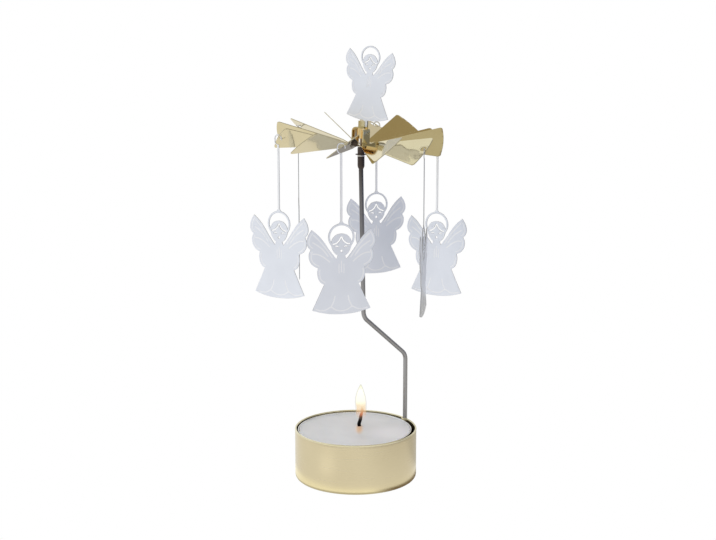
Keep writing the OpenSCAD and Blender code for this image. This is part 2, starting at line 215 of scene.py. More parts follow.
# ---------------------------------------------------------------- materials
def material(name):
    m = bpy.data.materials.new(name)
    m.use_nodes = True
    m.node_tree.nodes.clear()
    return m, m.node_tree.nodes, m.node_tree.links


def add(n, kind, **values):
    node = n.new(kind)
    for k, v in values.items():
        if hasattr(node, k) and k not in node.inputs:
            setattr(node, k, v)
        else:
            node.inputs[k].default_value = v
    return node


def ramp(n, stops, interpolation="LINEAR"):
    r = n.new("ShaderNodeValToRGB")
    r.color_ramp.interpolation = interpolation
    while len(r.color_ramp.elements) < len(stops):
        r.color_ramp.elements.new(0.5)
    for e, (p, c) in zip(r.color_ramp.elements, stops):
        e.position = p
        e.color = (*c, 1) if len(c) == 3 else c
    return r


def finish_material(m, bsdf):
    out = m.node_tree.nodes.new("ShaderNodeOutputMaterial")
    m.node_tree.links.new(bsdf.outputs[0], out.inputs[0])
    return m


def sheet_metal(name, light, dark, rough, rough_spread, grain=(1, 1, 1), grain_scale=900,
                bump=0.05, patch=60, metallic=1.0, overlay=0.1):
    """Metal with slow patches of colour, fine drawing grain and a few scuffs."""
    m, n, l = material(name)
    co = n.new("ShaderNodeTexCoord")
    slow = add(n, "ShaderNodeTexNoise", Scale=patch, Detail=3.0, Roughness=0.55)
    l.new(co.outputs["Object"], slow.inputs["Vector"])
    mp = n.new("ShaderNodeMapping")
    mp.inputs["Scale"].default_value = grain
    l.new(co.outputs["Object"], mp.inputs["Vector"])
    fine = add(n, "ShaderNodeTexNoise", Scale=grain_scale, Detail=4.0, Roughness=0.6)
    l.new(mp.outputs[0], fine.inputs["Vector"])
    colour = ramp(n, [(0.3, dark), (0.7, light)])
    l.new(slow.outputs["Fac"], colour.inputs[0])
    mix = n.new("ShaderNodeMixRGB")
    mix.blend_type = "OVERLAY"
    mix.inputs[0].default_value = overlay
    l.new(colour.outputs[0], mix.inputs[1])
    l.new(fine.outputs["Fac"], mix.inputs[2])
    rr = n.new("ShaderNodeMapRange")
    rr.inputs["To Min"].default_value = rough - rough_spread
    rr.inputs["To Max"].default_value = rough + rough_spread
    l.new(fine.outputs["Fac"], rr.inputs["Value"])
    bp = n.new("ShaderNodeBump")
    bp.inputs["Strength"].default_value = bump
    bp.inputs["Distance"].default_value = 0.00005
    l.new(fine.outputs["Fac"], bp.inputs["Height"])
    b = n.new("ShaderNodeBsdfPrincipled")
    b.inputs["Metallic"].default_value = metallic
    l.new(mix.outputs[0], b.inputs["Base Color"])
    l.new(rr.outputs[0], b.inputs["Roughness"])
    l.new(bp.outputs[0], b.inputs["Normal"])
    return finish_material(m, b)


def satin(name, light, dark, rough=0.42, patch=90, speck=2600, bump=0.07):
    """Satin silver-coloured sheet: slow patches, a fine rolled grain and a few faint scuffs."""
    m, n, l = material(name)
    co = n.new("ShaderNodeTexCoord")
    slow = add(n, "ShaderNodeTexNoise", Scale=patch, Detail=2.0, Roughness=0.5)
    l.new(co.outputs["Object"], slow.inputs["Vector"])
    fine = add(n, "ShaderNodeTexNoise", Scale=speck, Detail=3.0, Roughness=0.6)
    l.new(co.outputs["Object"], fine.inputs["Vector"])
    colour = ramp(n, [(0.32, dark), (0.66, light)])
    l.new(slow.outputs["Fac"], colour.inputs[0])
    rr = n.new("ShaderNodeMapRange")
    rr.inputs["To Min"].default_value = rough - 0.08
    rr.inputs["To Max"].default_value = rough + 0.08
    l.new(fine.outputs["Fac"], rr.inputs["Value"])
    bp = n.new("ShaderNodeBump")
    bp.inputs["Strength"].default_value = bump
    bp.inputs["Distance"].default_value = 0.00004
    l.new(fine.outputs["Fac"], bp.inputs["Height"])
    b = n.new("ShaderNodeBsdfPrincipled")
    b.inputs["Metallic"].default_value = 1.0
    l.new(colour.outputs[0], b.inputs["Base Color"])
    l.new(rr.outputs[0], b.inputs["Roughness"])
    l.new(bp.outputs[0], b.inputs["Normal"])
    return finish_material(m, b)


def drawn_wire():
    """Drawn steel, its colour darker towards the top and paler low down beside the cup."""
    m, n, l = material("wire_drawn_steel")
    co = n.new("ShaderNodeTexCoord")
    sep = n.new("ShaderNodeSeparateXYZ")
    l.new(co.outputs["Object"], sep.inputs[0])
    height = n.new("ShaderNodeMapRange")
    height.inputs["From Min"].default_value = 0.03
    height.inputs["From Max"].default_value = 0.109
    l.new(sep.outputs["Z"], height.inputs["Value"])
    slow = add(n, "ShaderNodeTexNoise", Scale=160.0, Detail=3.0, Roughness=0.6)
    l.new(co.outputs["Object"], slow.inputs["Vector"])
    sway = n.new("ShaderNodeMath")
    sway.operation = "MULTIPLY_ADD"
    sway.inputs[1].default_value = 0.12
    l.new(slow.outputs["Fac"], sway.inputs[0])
    l.new(height.outputs[0], sway.inputs[2])
    colour = ramp(n, [(0.15, (0.355, 0.35, 0.345)), (0.5, (0.31, 0.303, 0.3)), (0.68, (0.245, 0.238, 0.236)), (0.88, (0.17, 0.164, 0.162)), (1.0, (0.09, 0.082, 0.076))])
    l.new(sway.outputs[0], colour.inputs[0])
    mp = n.new("ShaderNodeMapping")
    mp.inputs["Scale"].default_value = (1, 1, 0.03)
    l.new(co.outputs["Object"], mp.inputs["Vector"])
    fine = add(n, "ShaderNodeTexNoise", Scale=3000.0, Detail=4.0, Roughness=0.6)
    l.new(mp.outputs[0], fine.inputs["Vector"])
    rr = n.new("ShaderNodeMapRange")
    rr.inputs["To Min"].default_value = 0.2
    rr.inputs["To Max"].default_value = 0.36
    l.new(fine.outputs["Fac"], rr.inputs["Value"])
    bp = n.new("ShaderNodeBump")
    bp.inputs["Strength"].default_value = 0.12
    bp.inputs["Distance"].default_value = 0.00005
    l.new(fine.outputs["Fac"], bp.inputs["Height"])
    b = n.new("ShaderNodeBsdfPrincipled")
    b.inputs["Metallic"].default_value = 1.0
    l.new(colour.outputs[0], b.inputs["Base Color"])
    l.new(rr.outputs[0], b.inputs["Roughness"])
    l.new(bp.outputs[0], b.inputs["Normal"])
    return finish_material(m, b)


cup_brass = sheet_metal("cup_satin_brass", (0.68, 0.59, 0.385), (0.65, 0.56, 0.36), 0.26, 0.05,
                        grain=(0.03, 0.03, 1), grain_scale=2200, bump=0.012, overlay=0.02)

# the rim's brass is paler than the cup's: a painted highlight along the rolled edge
rim_brass = sheet_metal("cup_rim_brass", (0.78, 0.72, 0.5), (0.7, 0.64, 0.42), 0.12, 0.04, grain_scale=1800, bump=0.04)
wheel_brass = sheet_metal("wheel_polished_brass", (0.69, 0.61, 0.38), (0.65, 0.56, 0.34), 0.07, 0.025,
                          grain_scale=1500, bump=0.015)
wheel_edge = sheet_metal("wheel_sheared_edge", (0.54, 0.48, 0.31), (0.42, 0.37, 0.23), 0.32, 0.06, grain_scale=2600, bump=0.15)
bridge_brass = sheet_metal("bridge_brass", (0.68, 0.6, 0.36), (0.6, 0.52, 0.3), 0.1, 0.03,
                           grain_scale=1500, bump=0.03)
wire_steel = drawn_wire()
sleeve_steel = sheet_metal("sleeve_dark_steel", (0.11, 0.085, 0.072), (0.06, 0.048, 0.042), 0.3, 0.08,
                           grain_scale=2500, bump=0.1)


def bright_band(m, z0, z1, colour):
    """A narrow polished ring round a dark part, between two heights."""
    n, l = m.node_tree.nodes, m.node_tree.links
    b = next(q for q in n if q.type == "BSDF_PRINCIPLED")
    plain = b.inputs["Base Color"].links[0].from_socket
    co = n.new("ShaderNodeTexCoord")
    sep = n.new("ShaderNodeSeparateXYZ")
    l.new(co.outputs["Object"], sep.inputs[0])
    masks = []
    for lo, hi in ((z0 - 0.00004, z0), (z1 + 0.00004, z1)):
        r = n.new("ShaderNodeMapRange")
        r.inputs["From Min"].default_value = lo
        r.inputs["From Max"].default_value = hi
        l.new(sep.outputs["Z"], r.inputs["Value"])
        masks.append(r.outputs[0])
    both_of = n.new("ShaderNodeMath")
    both_of.operation = "MULTIPLY"
    l.new(masks[0], both_of.inputs[0])
    l.new(masks[1], both_of.inputs[1])
    mix = n.new("ShaderNodeMixRGB")
    mix.inputs[2].default_value = (*colour, 1)
    l.new(both_of.outputs[0], mix.inputs[0])
    l.new(plain, mix.inputs[1])
    l.new(mix.outputs[0], b.inputs["Base Color"])


bright_band(sleeve_steel, 0.10862, 0.10892, (0.6, 0.58, 0.53))
needle_steel = sheet_metal("needle_steel", (0.4, 0.35, 0.29), (0.3, 0.26, 0.22), 0.2, 0.05,
                           grain=(1, 1, 0.1), grain_scale=3000, bump=0.06)
light_alu = sheet_metal("tealight_aluminium", (0.86, 0.86, 0.85), (0.78, 0.78, 0.77), 0.28, 0.06,
                        grain=(1, 1, 0.06), grain_scale=1800, bump=0.12)
tin = sheet_metal("sustainer_tin", (0.66, 0.66, 0.64), (0.56, 0.56, 0.54), 0.3, 0.06, grain_scale=1800)
angel_face = satin("angel_sheet", (0.86, 0.89, 0.95), (0.82, 0.85, 0.91))
# the etched lines are paler than the face: a painted highlight for the light caught on their edges
angel_groove = satin("angel_groove", (0.97, 0.98, 1.0), (0.93, 0.94, 0.97), rough=0.5)
angel_rim = satin("angel_rim", (0.46, 0.465, 0.47), (0.36, 0.365, 0.37), rough=0.36)
bright_strip = satin("angel_strip", (0.96, 0.97, 0.98), (0.9, 0.91, 0.93), rough=0.4)


def wax_material():
    m, n, l = material("paraffin_wax")
    co = n.new("ShaderNodeTexCoord")
    slow = add(n, "ShaderNodeTexNoise", Scale=110.0, Detail=2.0, Roughness=0.5)
    l.new(co.outputs["Object"], slow.inputs["Vector"])
    colour = ramp(n, [(0.3, (0.74, 0.745, 0.76)), (0.7, (0.82, 0.82, 0.83))])
    l.new(slow.outputs["Fac"], colour.inputs[0])
    fine = add(n, "ShaderNodeTexNoise", Scale=1400.0, Detail=3.0)
    l.new(co.outputs["Object"], fine.inputs["Vector"])
    bp = n.new("ShaderNodeBump")
    bp.inputs["Strength"].default_value = 0.06
    bp.inputs["Distance"].default_value = 0.00005
    l.new(fine.outputs["Fac"], bp.inputs["Height"])
    rr = n.new("ShaderNodeMapRange")
    rr.inputs["To Min"].default_value = 0.34
    rr.inputs["To Max"].default_value = 0.5
    l.new(fine.outputs["Fac"], rr.inputs["Value"])
    b = n.new("ShaderNodeBsdfPrincipled")
    b.inputs["Subsurface Weight"].default_value = 0.25
    b.inputs["Subsurface Radius"].default_value = (1.0, 0.8, 0.6)
    b.inputs["Subsurface Scale"].default_value = 0.003
    l.new(colour.outputs[0], b.inputs["Base Color"])
    l.new(rr.outputs[0], b.inputs["Roughness"])
    l.new(bp.outputs[0], b.inputs["Normal"])
    # the flame's light in the soft wax, long in front of the wick
    squeeze = n.new("ShaderNodeVectorMath")
    squeeze.operation = "MULTIPLY"
    squeeze.inputs[1].default_value = (1, 0.24, 1)
    l.new(co.outputs["Object"], squeeze.inputs[0])
    near = n.new("ShaderNodeVectorMath")
    near.operation = "DISTANCE"
    near.inputs[1].default_value = (0.0012, 0.0002, 0.0161)
    l.new(squeeze.outputs[0], near.inputs[0])
    fall = n.new("ShaderNodeMapRange")
    fall.interpolation_type = "SMOOTHERSTEP"
    fall.inputs["From Min"].default_value = 0.0003
    fall.inputs["From Max"].default_value = 0.0019
    fall.inputs["To Min"].default_value = 1.0
    fall.inputs["To Max"].default_value = 0.0
    l.new(near.outputs["Value"], fall.inputs["Value"])
    glow = ramp(n, [(0.0, (0, 0, 0)), (1.0, (0.24, 0.09, 0.03))])
    l.new(fall.outputs[0], glow.inputs[0])
    # a painted pool of light on the right of the wax, from the cup's inner wall
    wall_light_distance = n.new("ShaderNodeVectorMath")
    wall_light_distance.operation = "DISTANCE"
    wall_light_distance.inputs[1].default_value = (0.0135, -0.004, 0.0161)
    l.new(co.outputs["Object"], wall_light_distance.inputs[0])
    wall_light_mask = n.new("ShaderNodeMapRange")
    wall_light_mask.interpolation_type = "SMOOTHSTEP"
    wall_light_mask.inputs["From Min"].default_value = 0.003
    wall_light_mask.inputs["From Max"].default_value = 0.011
    wall_light_mask.inputs["To Min"].default_value = 0.75
    wall_light_mask.inputs["To Max"].default_value = 0.0
    l.new(wall_light_distance.outputs["Value"], wall_light_mask.inputs["Value"])
    # the wax is mixed paler under the painted pool of light
    pale = n.new("ShaderNodeMixRGB")
    pale.inputs[2].default_value = (0.93, 0.91, 0.94, 1)
    l.new(wall_light_mask.outputs[0], pale.inputs[0])
    l.new(colour.outputs[0], pale.inputs[1])
    warm = n.new("ShaderNodeMixRGB")
    warm.inputs[2].default_value = (0.76, 0.6, 0.44, 1)
    l.new(fall.outputs[0], warm.inputs[0])
    l.new(pale.outputs[0], warm.inputs[1])
    l.new(warm.outputs[0], b.inputs["Base Color"])
    b.inputs["Emission Strength"].default_value = 0.6
    l.new(glow.outputs[0], b.inputs["Emission Color"])
    return finish_material(m, b)


def wick_material():
    """Charred cotton, paler and glowing towards its tip."""
    m, n, l = material("charred_wick")
    co = n.new("ShaderNodeTexCoord")
    sep = n.new("ShaderNodeSeparateXYZ")
    l.new(co.outputs["Object"], sep.inputs[0])
    rr = n.new("ShaderNodeMapRange")
    rr.inputs["From Min"].default_value = 0.0162
    rr.inputs["From Max"].default_value = 0.0218
    l.new(sep.outputs["Z"], rr.inputs["Value"])
    noise = add(n, "ShaderNodeTexNoise", Scale=2600.0, Detail=4.0)
    l.new(co.outputs["Object"], noise.inputs["Vector"])
    colour = ramp(n, [(0.0, (0.002, 0.002, 0.002)), (0.6, (0.004, 0.003, 0.003)), (0.85, (0.16, 0.05, 0.02)), (1.0, (0.26, 0.1, 0.04))])
    l.new(rr.outputs[0], colour.inputs[0])
    glow = ramp(n, [(0.0, (0, 0, 0)), (0.56, (0, 0, 0)), (0.74, (0.75, 0.12, 0.02)), (1.0, (0.6, 0.2, 0.06))])
    l.new(rr.outputs[0], glow.inputs[0])
    bp = n.new("ShaderNodeBump")
    bp.inputs["Strength"].default_value = 0.7
    bp.inputs["Distance"].default_value = 0.0001
    l.new(noise.outputs["Fac"], bp.inputs["Height"])
    b = n.new("ShaderNodeBsdfPrincipled")
    b.inputs["Roughness"].default_value = 0.95
    b.inputs["Specular IOR Level"].default_value = 0.12
    b.inputs["Emission Strength"].default_value = 0.5
    l.new(colour.outputs[0], b.inputs["Base Color"])
    l.new(glow.outputs[0], b.inputs["Emission Color"])
    l.new(bp.outputs[0], b.inputs["Normal"])
    return finish_material(m, b)


def flame_material(name, z0, z1, strength, colours, alphas):
    m, n, l = material(name)
    co = n.new("ShaderNodeTexCoord")
    sep = n.new("ShaderNodeSeparateXYZ")
    l.new(co.outputs["Object"], sep.inputs[0])
    rr = n.new("ShaderNodeMapRange")
    rr.inputs["From Min"].default_value = z0
    rr.inputs["From Max"].default_value = z1
    l.new(sep.outputs["Z"], rr.inputs["Value"])
    colour = ramp(n, colours)
    l.new(rr.outputs[0], colour.inputs[0])
    alpha = ramp(n, [(p, (a,) * 3) for p, a in alphas])
    l.new(rr.outputs[0], alpha.inputs[0])
    em = n.new("ShaderNodeEmission")
    em.inputs["Strength"].default_value = strength
    l.new(colour.outputs[0], em.inputs["Color"])
    tr = n.new("ShaderNodeBsdfTransparent")
    mix = n.new("ShaderNodeMixShader")
    l.new(alpha.outputs[0], mix.inputs[0])
    l.new(tr.outputs[0], mix.inputs[1])
    l.new(em.outputs[0], mix.inputs[2])
    out = n.new("ShaderNodeOutputMaterial")
    l.new(mix.outputs[0], out.inputs[0])
    return m


wax_mat = wax_material()
wick_mat = wick_material()
flame_halo = flame_material("flame_halo", 0.0172, 0.0309, 1.0,
                            [(0.0, (0.6, 0.68, 0.85)), (0.2, (0.8, 0.66, 0.5)), (0.45, (0.6, 0.54, 0.4)), (1.0, (0.62, 0.62, 0.36))],
                            [(0.0, 0.0), (0.2, 0.03), (0.38, 0.2), (0.85, 0.22), (1.0, 0.28)])
flame_core = flame_material("flame_core", 0.0198, 0.0305, 1.5,
                            [(0.0, (0.66, 0.3, 0.12)), (0.16, (0.7, 0.42, 0.2)), (0.34, (0.78, 0.62, 0.4)), (0.5, (0.9, 0.86, 0.7)),
                             (0.85, (0.95, 0.94, 0.8)), (1.0, (0.68, 0.68, 0.46))],
                            [(0.0, 0.0), (0.16, 0.12), (0.32, 0.38), (0.46, 0.8), (0.85, 0.9), (1.0, 0.75)])
flame_heart = flame_material("flame_heart", 0.0182, 0.0248, 1.0,
                             [(0.0, (0.95, 0.62, 0.45)), (0.45, (1.0, 0.56, 0.3)), (0.75, (1.0, 0.78, 0.36)), (1.0, (1.0, 0.86, 0.5))],
                             [(0.0, 0.0), (0.25, 0.1), (0.55, 0.26), (0.8, 0.16), (1.0, 0.0)])
flame_ember = flame_material("flame_ember", 0.0205, 0.0232, 1.0,
                             [(0.0, (0.5, 0.12, 0.03)), (0.5, (0.55, 0.2, 0.05)), (1.0, (0.8, 0.45, 0.12))],
                             [(0.0, 0.5), (0.4, 0.6), (1.0, 0.0)])


def dress_node(name, mat, bevel=0.0, smooth_angle=35):
    ob = nodes[name]
    if not ob.material_slots:
        ob.data.materials.append(mat)
    for s in ob.material_slots:
        s.link = "OBJECT"
        s.material = mat
    if bevel:
        b = ob.modifiers.new("edge", "BEVEL")
        b.width = bevel * MM
        b.segments = 2
        b.limit_method = "ANGLE"
        b.angle_limit = math.radians(40)
    return ob


for name, mat in (("stand_wire", wire_steel), ("pivot_sleeve", sleeve_steel), ("sleeve_collar", sleeve_steel),
                  ("pivot_needle", needle_steel), ("wick_sustainer", tin)):
    dress_node(name, mat, 0.05 if name in ("pivot_sleeve", "sleeve_collar") else 0.0)


# ------------------------------------------------------------------- wheel
PIVOT = Vector((1.76, 0, 118))
TILT = Matrix.Rotation(math.radians(2.2), 3, "Y") @ Matrix.Rotation(math.radians(4.35), 3, "X")
WHEEL_R, WHEEL_T, NECK_R = 27.6, 0.25, 4.6
VANE_W, TIP_CORNER = 12.8, 0.9
VANE_AZ, VANE_RISE = -11.5, 2.4
TWIST = [39, 39, 37, 39, 38, 31, 27, 42, 35, 45, 38, 38]
LIFT = [0.9, 0, -1.1, 0.2, -2, 1.5, 0.3, 0.5, -0.2, -0.5, 0, 0.4]
SHIFT = [0.2, 0.5, -0.3, 1.2, -0.2, 1.1, -0.8, -0.9, 0.8, 0.5, 0, 0.5]
HOOK_WEB, HOLE_D, HOLE_T = 0.36, 1.9, 1.1
HOLE_R0 = WHEEL_R - HOOK_WEB - HOLE_D / 2
SEAT_R0 = WHEEL_R - HOOK_WEB / 2
HUB_D, HUB_DROP, WHEEL_OFF = 8.4, 5.5, (-0.4, -0.3)
BRIDGE_FACE = -35


def paint_inner_reflection(m, colour):
    """Paints a deeper, warmer brass on the strap's inner faces and the bearing cup: a painted reflection of the brass
    they face.
    """
    n, l = m.node_tree.nodes, m.node_tree.links
    b = next(q for q in n if q.type == "BSDF_PRINCIPLED")
    outer = b.inputs["Base Color"].links[0].from_socket
    co = n.new("ShaderNodeTexCoord")
    mp = n.new("ShaderNodeMapping")
    mp.vector_type = "TEXTURE"
    mp.inputs["Location"].default_value = PIVOT * MM
    mp.inputs["Rotation"].default_value = (TILT @ Matrix.Rotation(math.radians(BRIDGE_FACE), 3, "Z")).to_euler("XYZ")
    l.new(co.outputs["Object"], mp.inputs["Vector"])
    sep = n.new("ShaderNodeSeparateXYZ")
    l.new(mp.outputs[0], sep.inputs[0])
    beside = n.new("ShaderNodeMath")
    beside.operation = "ABSOLUTE"
    l.new(sep.outputs["X"], beside.inputs[0])
    masks = []
    for value, lo, hi in ((beside.outputs[0], 0.00207, 0.00203), (sep.outputs["Z"], -0.00002, -0.00008)):
        r = n.new("ShaderNodeMapRange")
        r.inputs["From Min"].default_value = lo
        r.inputs["From Max"].default_value = hi
        l.new(value, r.inputs["Value"])
        masks.append(r.outputs[0])
    both_of = n.new("ShaderNodeMath")
    both_of.operation = "MULTIPLY"
    l.new(masks[0], both_of.inputs[0])
    l.new(masks[1], both_of.inputs[1])
    mix = n.new("ShaderNodeMixRGB")
    mix.inputs[2].default_value = (*colour, 1)
    l.new(both_of.outputs[0], mix.inputs[0])
    l.new(outer, mix.inputs[1])
    l.new(mix.outputs[0], b.inputs["Base Color"])


# painted brass-on-brass reflection inside the bridge
paint_inner_reflection(bridge_brass, (0.8, 0.61, 0.31))
dress_node("bearing_bridge", bridge_brass, 0.05)


def az(i):
    return VANE_AZ + 30 * i + SHIFT[i]


def vane_outline(n_corner=6):
    rc = WHEEL_R - TIP_CORNER
    half = math.asin(VANE_W / 2 / WHEEL_R)
    ac = half - math.asin(TIP_CORNER / rc)
    c = (rc * math.cos(ac), rc * math.sin(ac))
    side = [(3.2, 0.75), (4.0, 0.75), (NECK_R - 0.3, 0.75)]
    a, b = side[-1], (c[0] + TIP_CORNER * math.cos(math.radians(105)), c[1] + TIP_CORNER * math.sin(math.radians(105)))
    side += [(a[0] + (b[0] - a[0]) * k / 10, a[1] + (b[1] - a[1]) * k / 10) for k in range(1, 10)]
    corner = [(c[0] + TIP_CORNER * math.cos(t), c[1] + TIP_CORNER * math.sin(t))
              for t in [math.radians(105) + (ac - math.radians(105)) * k / n_corner for k in range(n_corner + 1)]]
    tip = [(WHEEL_R * math.cos(ac * (1 - k / 8)), WHEEL_R * math.sin(ac * (1 - k / 8))) for k in range(1, 8)]
    top = side + corner + tip
    return top + [(WHEEL_R, 0)] + [(x, -y) for x, y in reversed(top)]


def smoothstep(x):
    x = min(max(x, 0), 1)
    return x * x * (3 - 2 * x)


def vane_place(i, r, u):
    """Where a point of vane i goes in the wheel's frame: r along its middle line, u beside it."""
    f = smoothstep((r - 3.7) / 1.9)
    e = math.asin((VANE_RISE + LIFT[i]) / (WHEEL_R - NECK_R)) * (1 if r > NECK_R else f)
    w = math.radians(TWIST[i]) * f
    l = r - NECK_R
    rise = l * math.sin(e) if l > 0 else 0
    run = l * math.cos(e) if l > 0 else l
    x = NECK_R + run - u * math.sin(w) * math.sin(e)
    y = u * math.cos(w)
    z = rise + u * math.sin(w) * math.cos(e)
    a = math.radians(az(i) - 90)
    return Vector((x * math.cos(a) - y * math.sin(a), x * math.sin(a) + y * math.cos(a), z))


def on_wheel(v):
    return PIVOT + TILT @ Vector(v)


def build_wheel():
    outline = vane_outline()
    hole = circle(HOLE_R0, HOLE_T, HOLE_D / 2 + 0.09, 56)
    hub = circle(0, 0, HUB_D / 2, 120)
    bore = circle(-WHEEL_OFF[0], -WHEEL_OFF[1], 1.5, 32)
    verts, faces = [], []
    seen = {}
    # each vane is cut flat, then bent at its neck
    inner = []
    for k in range(1, 30):
        r = 3.4 + k * 0.82
        half = 0.75 if r < 4.3 else 0.75 + (r - 4.3) * (6.1 - 0.75) / (26.4 - 4.3)
        count = max(1, int(half / 0.8))
        for j in range(-count, count + 1):
            u = j * half / (count + 0.6)
            if r < 27 and math.hypot(r - HOLE_R0, u - HOLE_T) > HOLE_D / 2 + 0.3:
                inner.append((r, u))
    o = Region(outline)
    h = Region(hole)
    for i in range(12):
        with_hole = i % 2 == 0
        loops = [outline] + ([hole] if with_hole else [])

        def test(x, y):
            if math.hypot(x, y) < 4.0:
                return None
            if not o.has(x, y) or (with_hole and h.has(x, y)):
                return None
            return 0

        arc = [(4.0 * math.cos(t), 4.0 * math.sin(t)) for t in [math.radians(-10 + k * 2.5) for k in range(9)]]
        pts, tris, _ = cut_sheet(loops + [circle(0, 0, 4.0, 144)], test, inner)
        used = sorted({q for t in tris for q in t})
        back = {q: len(verts) + k for k, q in enumerate(used)}
        verts += [vane_place(i, *pts[q]) for q in used]
        faces += [tuple(back[q] for q in t) for t in tris]
    # the flat hub
    legs = []
    c, s = math.cos(math.radians(BRIDGE_FACE)), math.sin(math.radians(BRIDGE_FACE))
    for sx in (-1, 1):
        x0 = sx * (4.7 / 2 - 0.35 / 2)
        box = [(x0 - 0.225, -1.05), (x0 + 0.225, -1.05), (x0 + 0.225, 1.05), (x0 - 0.225, 1.05)]
        legs.append([(x * c - y * s - WHEEL_OFF[0], x * s + y * c - WHEEL_OFF[1]) for x, y in box])
    regs = [Region(bore)] + [Region(q) for q in legs]

    def test_hub(x, y):
        if math.hypot(x, y) > 4.21 or any(q.has(x, y) for q in regs):
            return None
        return 0

    pts, tris, _ = cut_sheet([hub, bore] + legs, test_hub)
    used = sorted({q for t in tris for q in t})
    back = {q: len(verts) + k for k, q in enumerate(used)}
    verts += [Vector((pts[q][0], pts[q][1], 0)) for q in used]
    faces += [tuple(back[q] for q in t) for t in tris]
    placed = [on_wheel(v + Vector((WHEEL_OFF[0], WHEEL_OFF[1], -HUB_DROP))) for v in verts]
    ob = mesh_object("vane_sheet", placed, faces, materials=[wheel_brass, wheel_edge], smooth=True)
    bm = bmesh.new()
    bm.from_mesh(ob.data)
    bmesh.ops.remove_doubles(bm, verts=bm.verts, dist=0.000002)
    bmesh.ops.recalc_face_normals(bm, faces=bm.faces)
    bm.to_mesh(ob.data)
    bm.free()
    sol = ob.modifiers.new("thickness", "SOLIDIFY")
    sol.thickness = WHEEL_T * MM
    sol.offset = 0
    sol.material_offset_rim = 1
    bev = ob.modifiers.new("edge", "BEVEL")
    bev.width = 0.05 * MM
    bev.segments = 2
    bev.limit_method = "ANGLE"
    bev.angle_limit = math.radians(50)
    wn = ob.modifiers.new("normals", "WEIGHTED_NORMAL")
    wn.keep_sharp = True
    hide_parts("vane_wheel")
    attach(ob, "rotor")
    return ob


wheel = build_wheel()

# ------------------------------------------------------------------ angels
ANGEL_T = 0.25
WING_IN = [(1.6, -11.1), (3.75, -8.3), (5.5, -5.7), (7.3, -3.5), (9.35, -1.75)]
LOBE_1 = [(9.35, -1.75), (10.5, -3.6), (10.95, -5.6), (10.5, -7.1), (9.7, -7.95)]
LOBE_2 = [(9.7, -7.95), (10.3, -9.4), (10.1, -11.3), (9, -12.9), (7.4, -13.75)]
LOBE_3 = [(7.4, -13.75), (7.65, -15.2), (7.35, -17.1), (6.5, -18.4), (5.5, -18.95)]
DRESS = [(5.5, -18.95), (7.3, -22.8), (9.3, -27)]
HEM = [(9.3, -27), (6.4, -27.85), (3.2, -28.4), (0, -28.55)]
HEAD = [(0, -3.1), (1.8, -3.6), (3.05, -5.1), (3.2, -6.8), (2.6, -8.6), (1.4, -9.9), (0, -10.3)]


def mirrored(p):
    return [(-x, y) for x, y in reversed(p)]


def both(p):
    """An outline half, from the middle line round to the middle line, with its mirror."""
    return p + mirrored(p[:-1] if abs(p[-1][0]) < 1e-9 else p)[0 if abs(p[0][0]) > 1e-9 else 0:-1]


def angel_outlines():
    n = 5
    half = [(0, -9.2), (0.95, -9.5), (1.25, -10.3)]
    for part in (WING_IN, LOBE_1, LOBE_2, LOBE_3, DRESS, HEM):
        half += catmull(part, n)[:-1]
    half.append((0, -28.55))
    body = half + [(-x, y) for x, y in reversed(half[1:-1])]
    head_half = catmull(HEAD, 6)
    head = head_half + [(-x, y) for x, y in reversed(head_half[1:-1])]
    return body, head


BODY, HEAD_LOOP = angel_outlines()
PARTING = catmull([(0.05, -4.1), (0.7, -5.4), (1.7, -6.2), (2.75, -6.5)], 5)
EYE = catmull([(0.8, -7.35), (1.4, -7.05), (2.05, -7.3)], 6)
CUTS = []
for sgn in (1, -1):
    CUTS.append([(sgn * x, y) for x, y in ribbon(PARTING, 0.42)])
    CUTS.append([(sgn * x, y) for x, y in ribbon(EYE, 0.36, pointed=True)])
CUTS.append(circle(0, -8.6, 0.38, 24))

# lines etched into both faces
FEATHERS = [
    [(2.9, -10.6), (4.95, -7.6), (7, -5.2), (8.9, -3.3)],
    [(3.6, -12), (5.6, -10.4), (7.6, -9.4), (9.2, -9.3)],
]
LOBES_INSET = [
    [(9.1, -2.75), (9.9, -4.0), (10.25, -5.6), (9.85, -6.75), (9.05, -7.45)],
    [(9.15, -8.5), (9.6, -9.6), (9.4, -11.1), (8.5, -12.35), (7.05, -13.1)],
    [(6.8, -14.2), (6.98, -15.3), (6.72, -16.8), (6.05, -17.8), (5.2, -18.3)],
]
FOLDS = [[(2.1, -22.6), (2.5, -24.4), (3.4, -26.2)], [(0.75, -12.6), (0.8, -14.0), (0.75, -15.6)],
         [(4.2, -10.2), (5.9, -8.0), (7.6, -6.6), (9.2, -5.6)]]
SCALLOP = [(-8.4, -26.6), (-6.6, -27.15), (-4.9, -26.95), (-3.4, -26.2), (-1.8, -27.15), (0, -27.5),
           (1.8, -27.15), (3.4, -26.2), (4.9, -26.95), (6.6, -27.15), (8.4, -26.6)]
GROOVES = []
for line, w in [(f, 0.42) for f in FEATHERS + FOLDS[::2]] + [(FOLDS[1], 0.32)] + [(f, 0.36) for f in LOBES_INSET]:
    for sgn in (1, -1):
        GROOVES.append([(sgn * x, y) for x, y in ribbon(catmull(line, 6), w)])
GROOVES.append(ribbon([(0, -11.6), (0, -13.4), (0, -15.3)], 0.42))
GROOVES.append(ribbon(catmull(SCALLOP, 4), 0.4))


def arc(cx, cy, r, a0, a1, n):
    return [(cx + r * math.cos(math.radians(a0 + (a1 - a0) * k / n)), cy + r * math.sin(math.radians(a0 + (a1 - a0) * k / n)))
            for k in range(n + 1)]


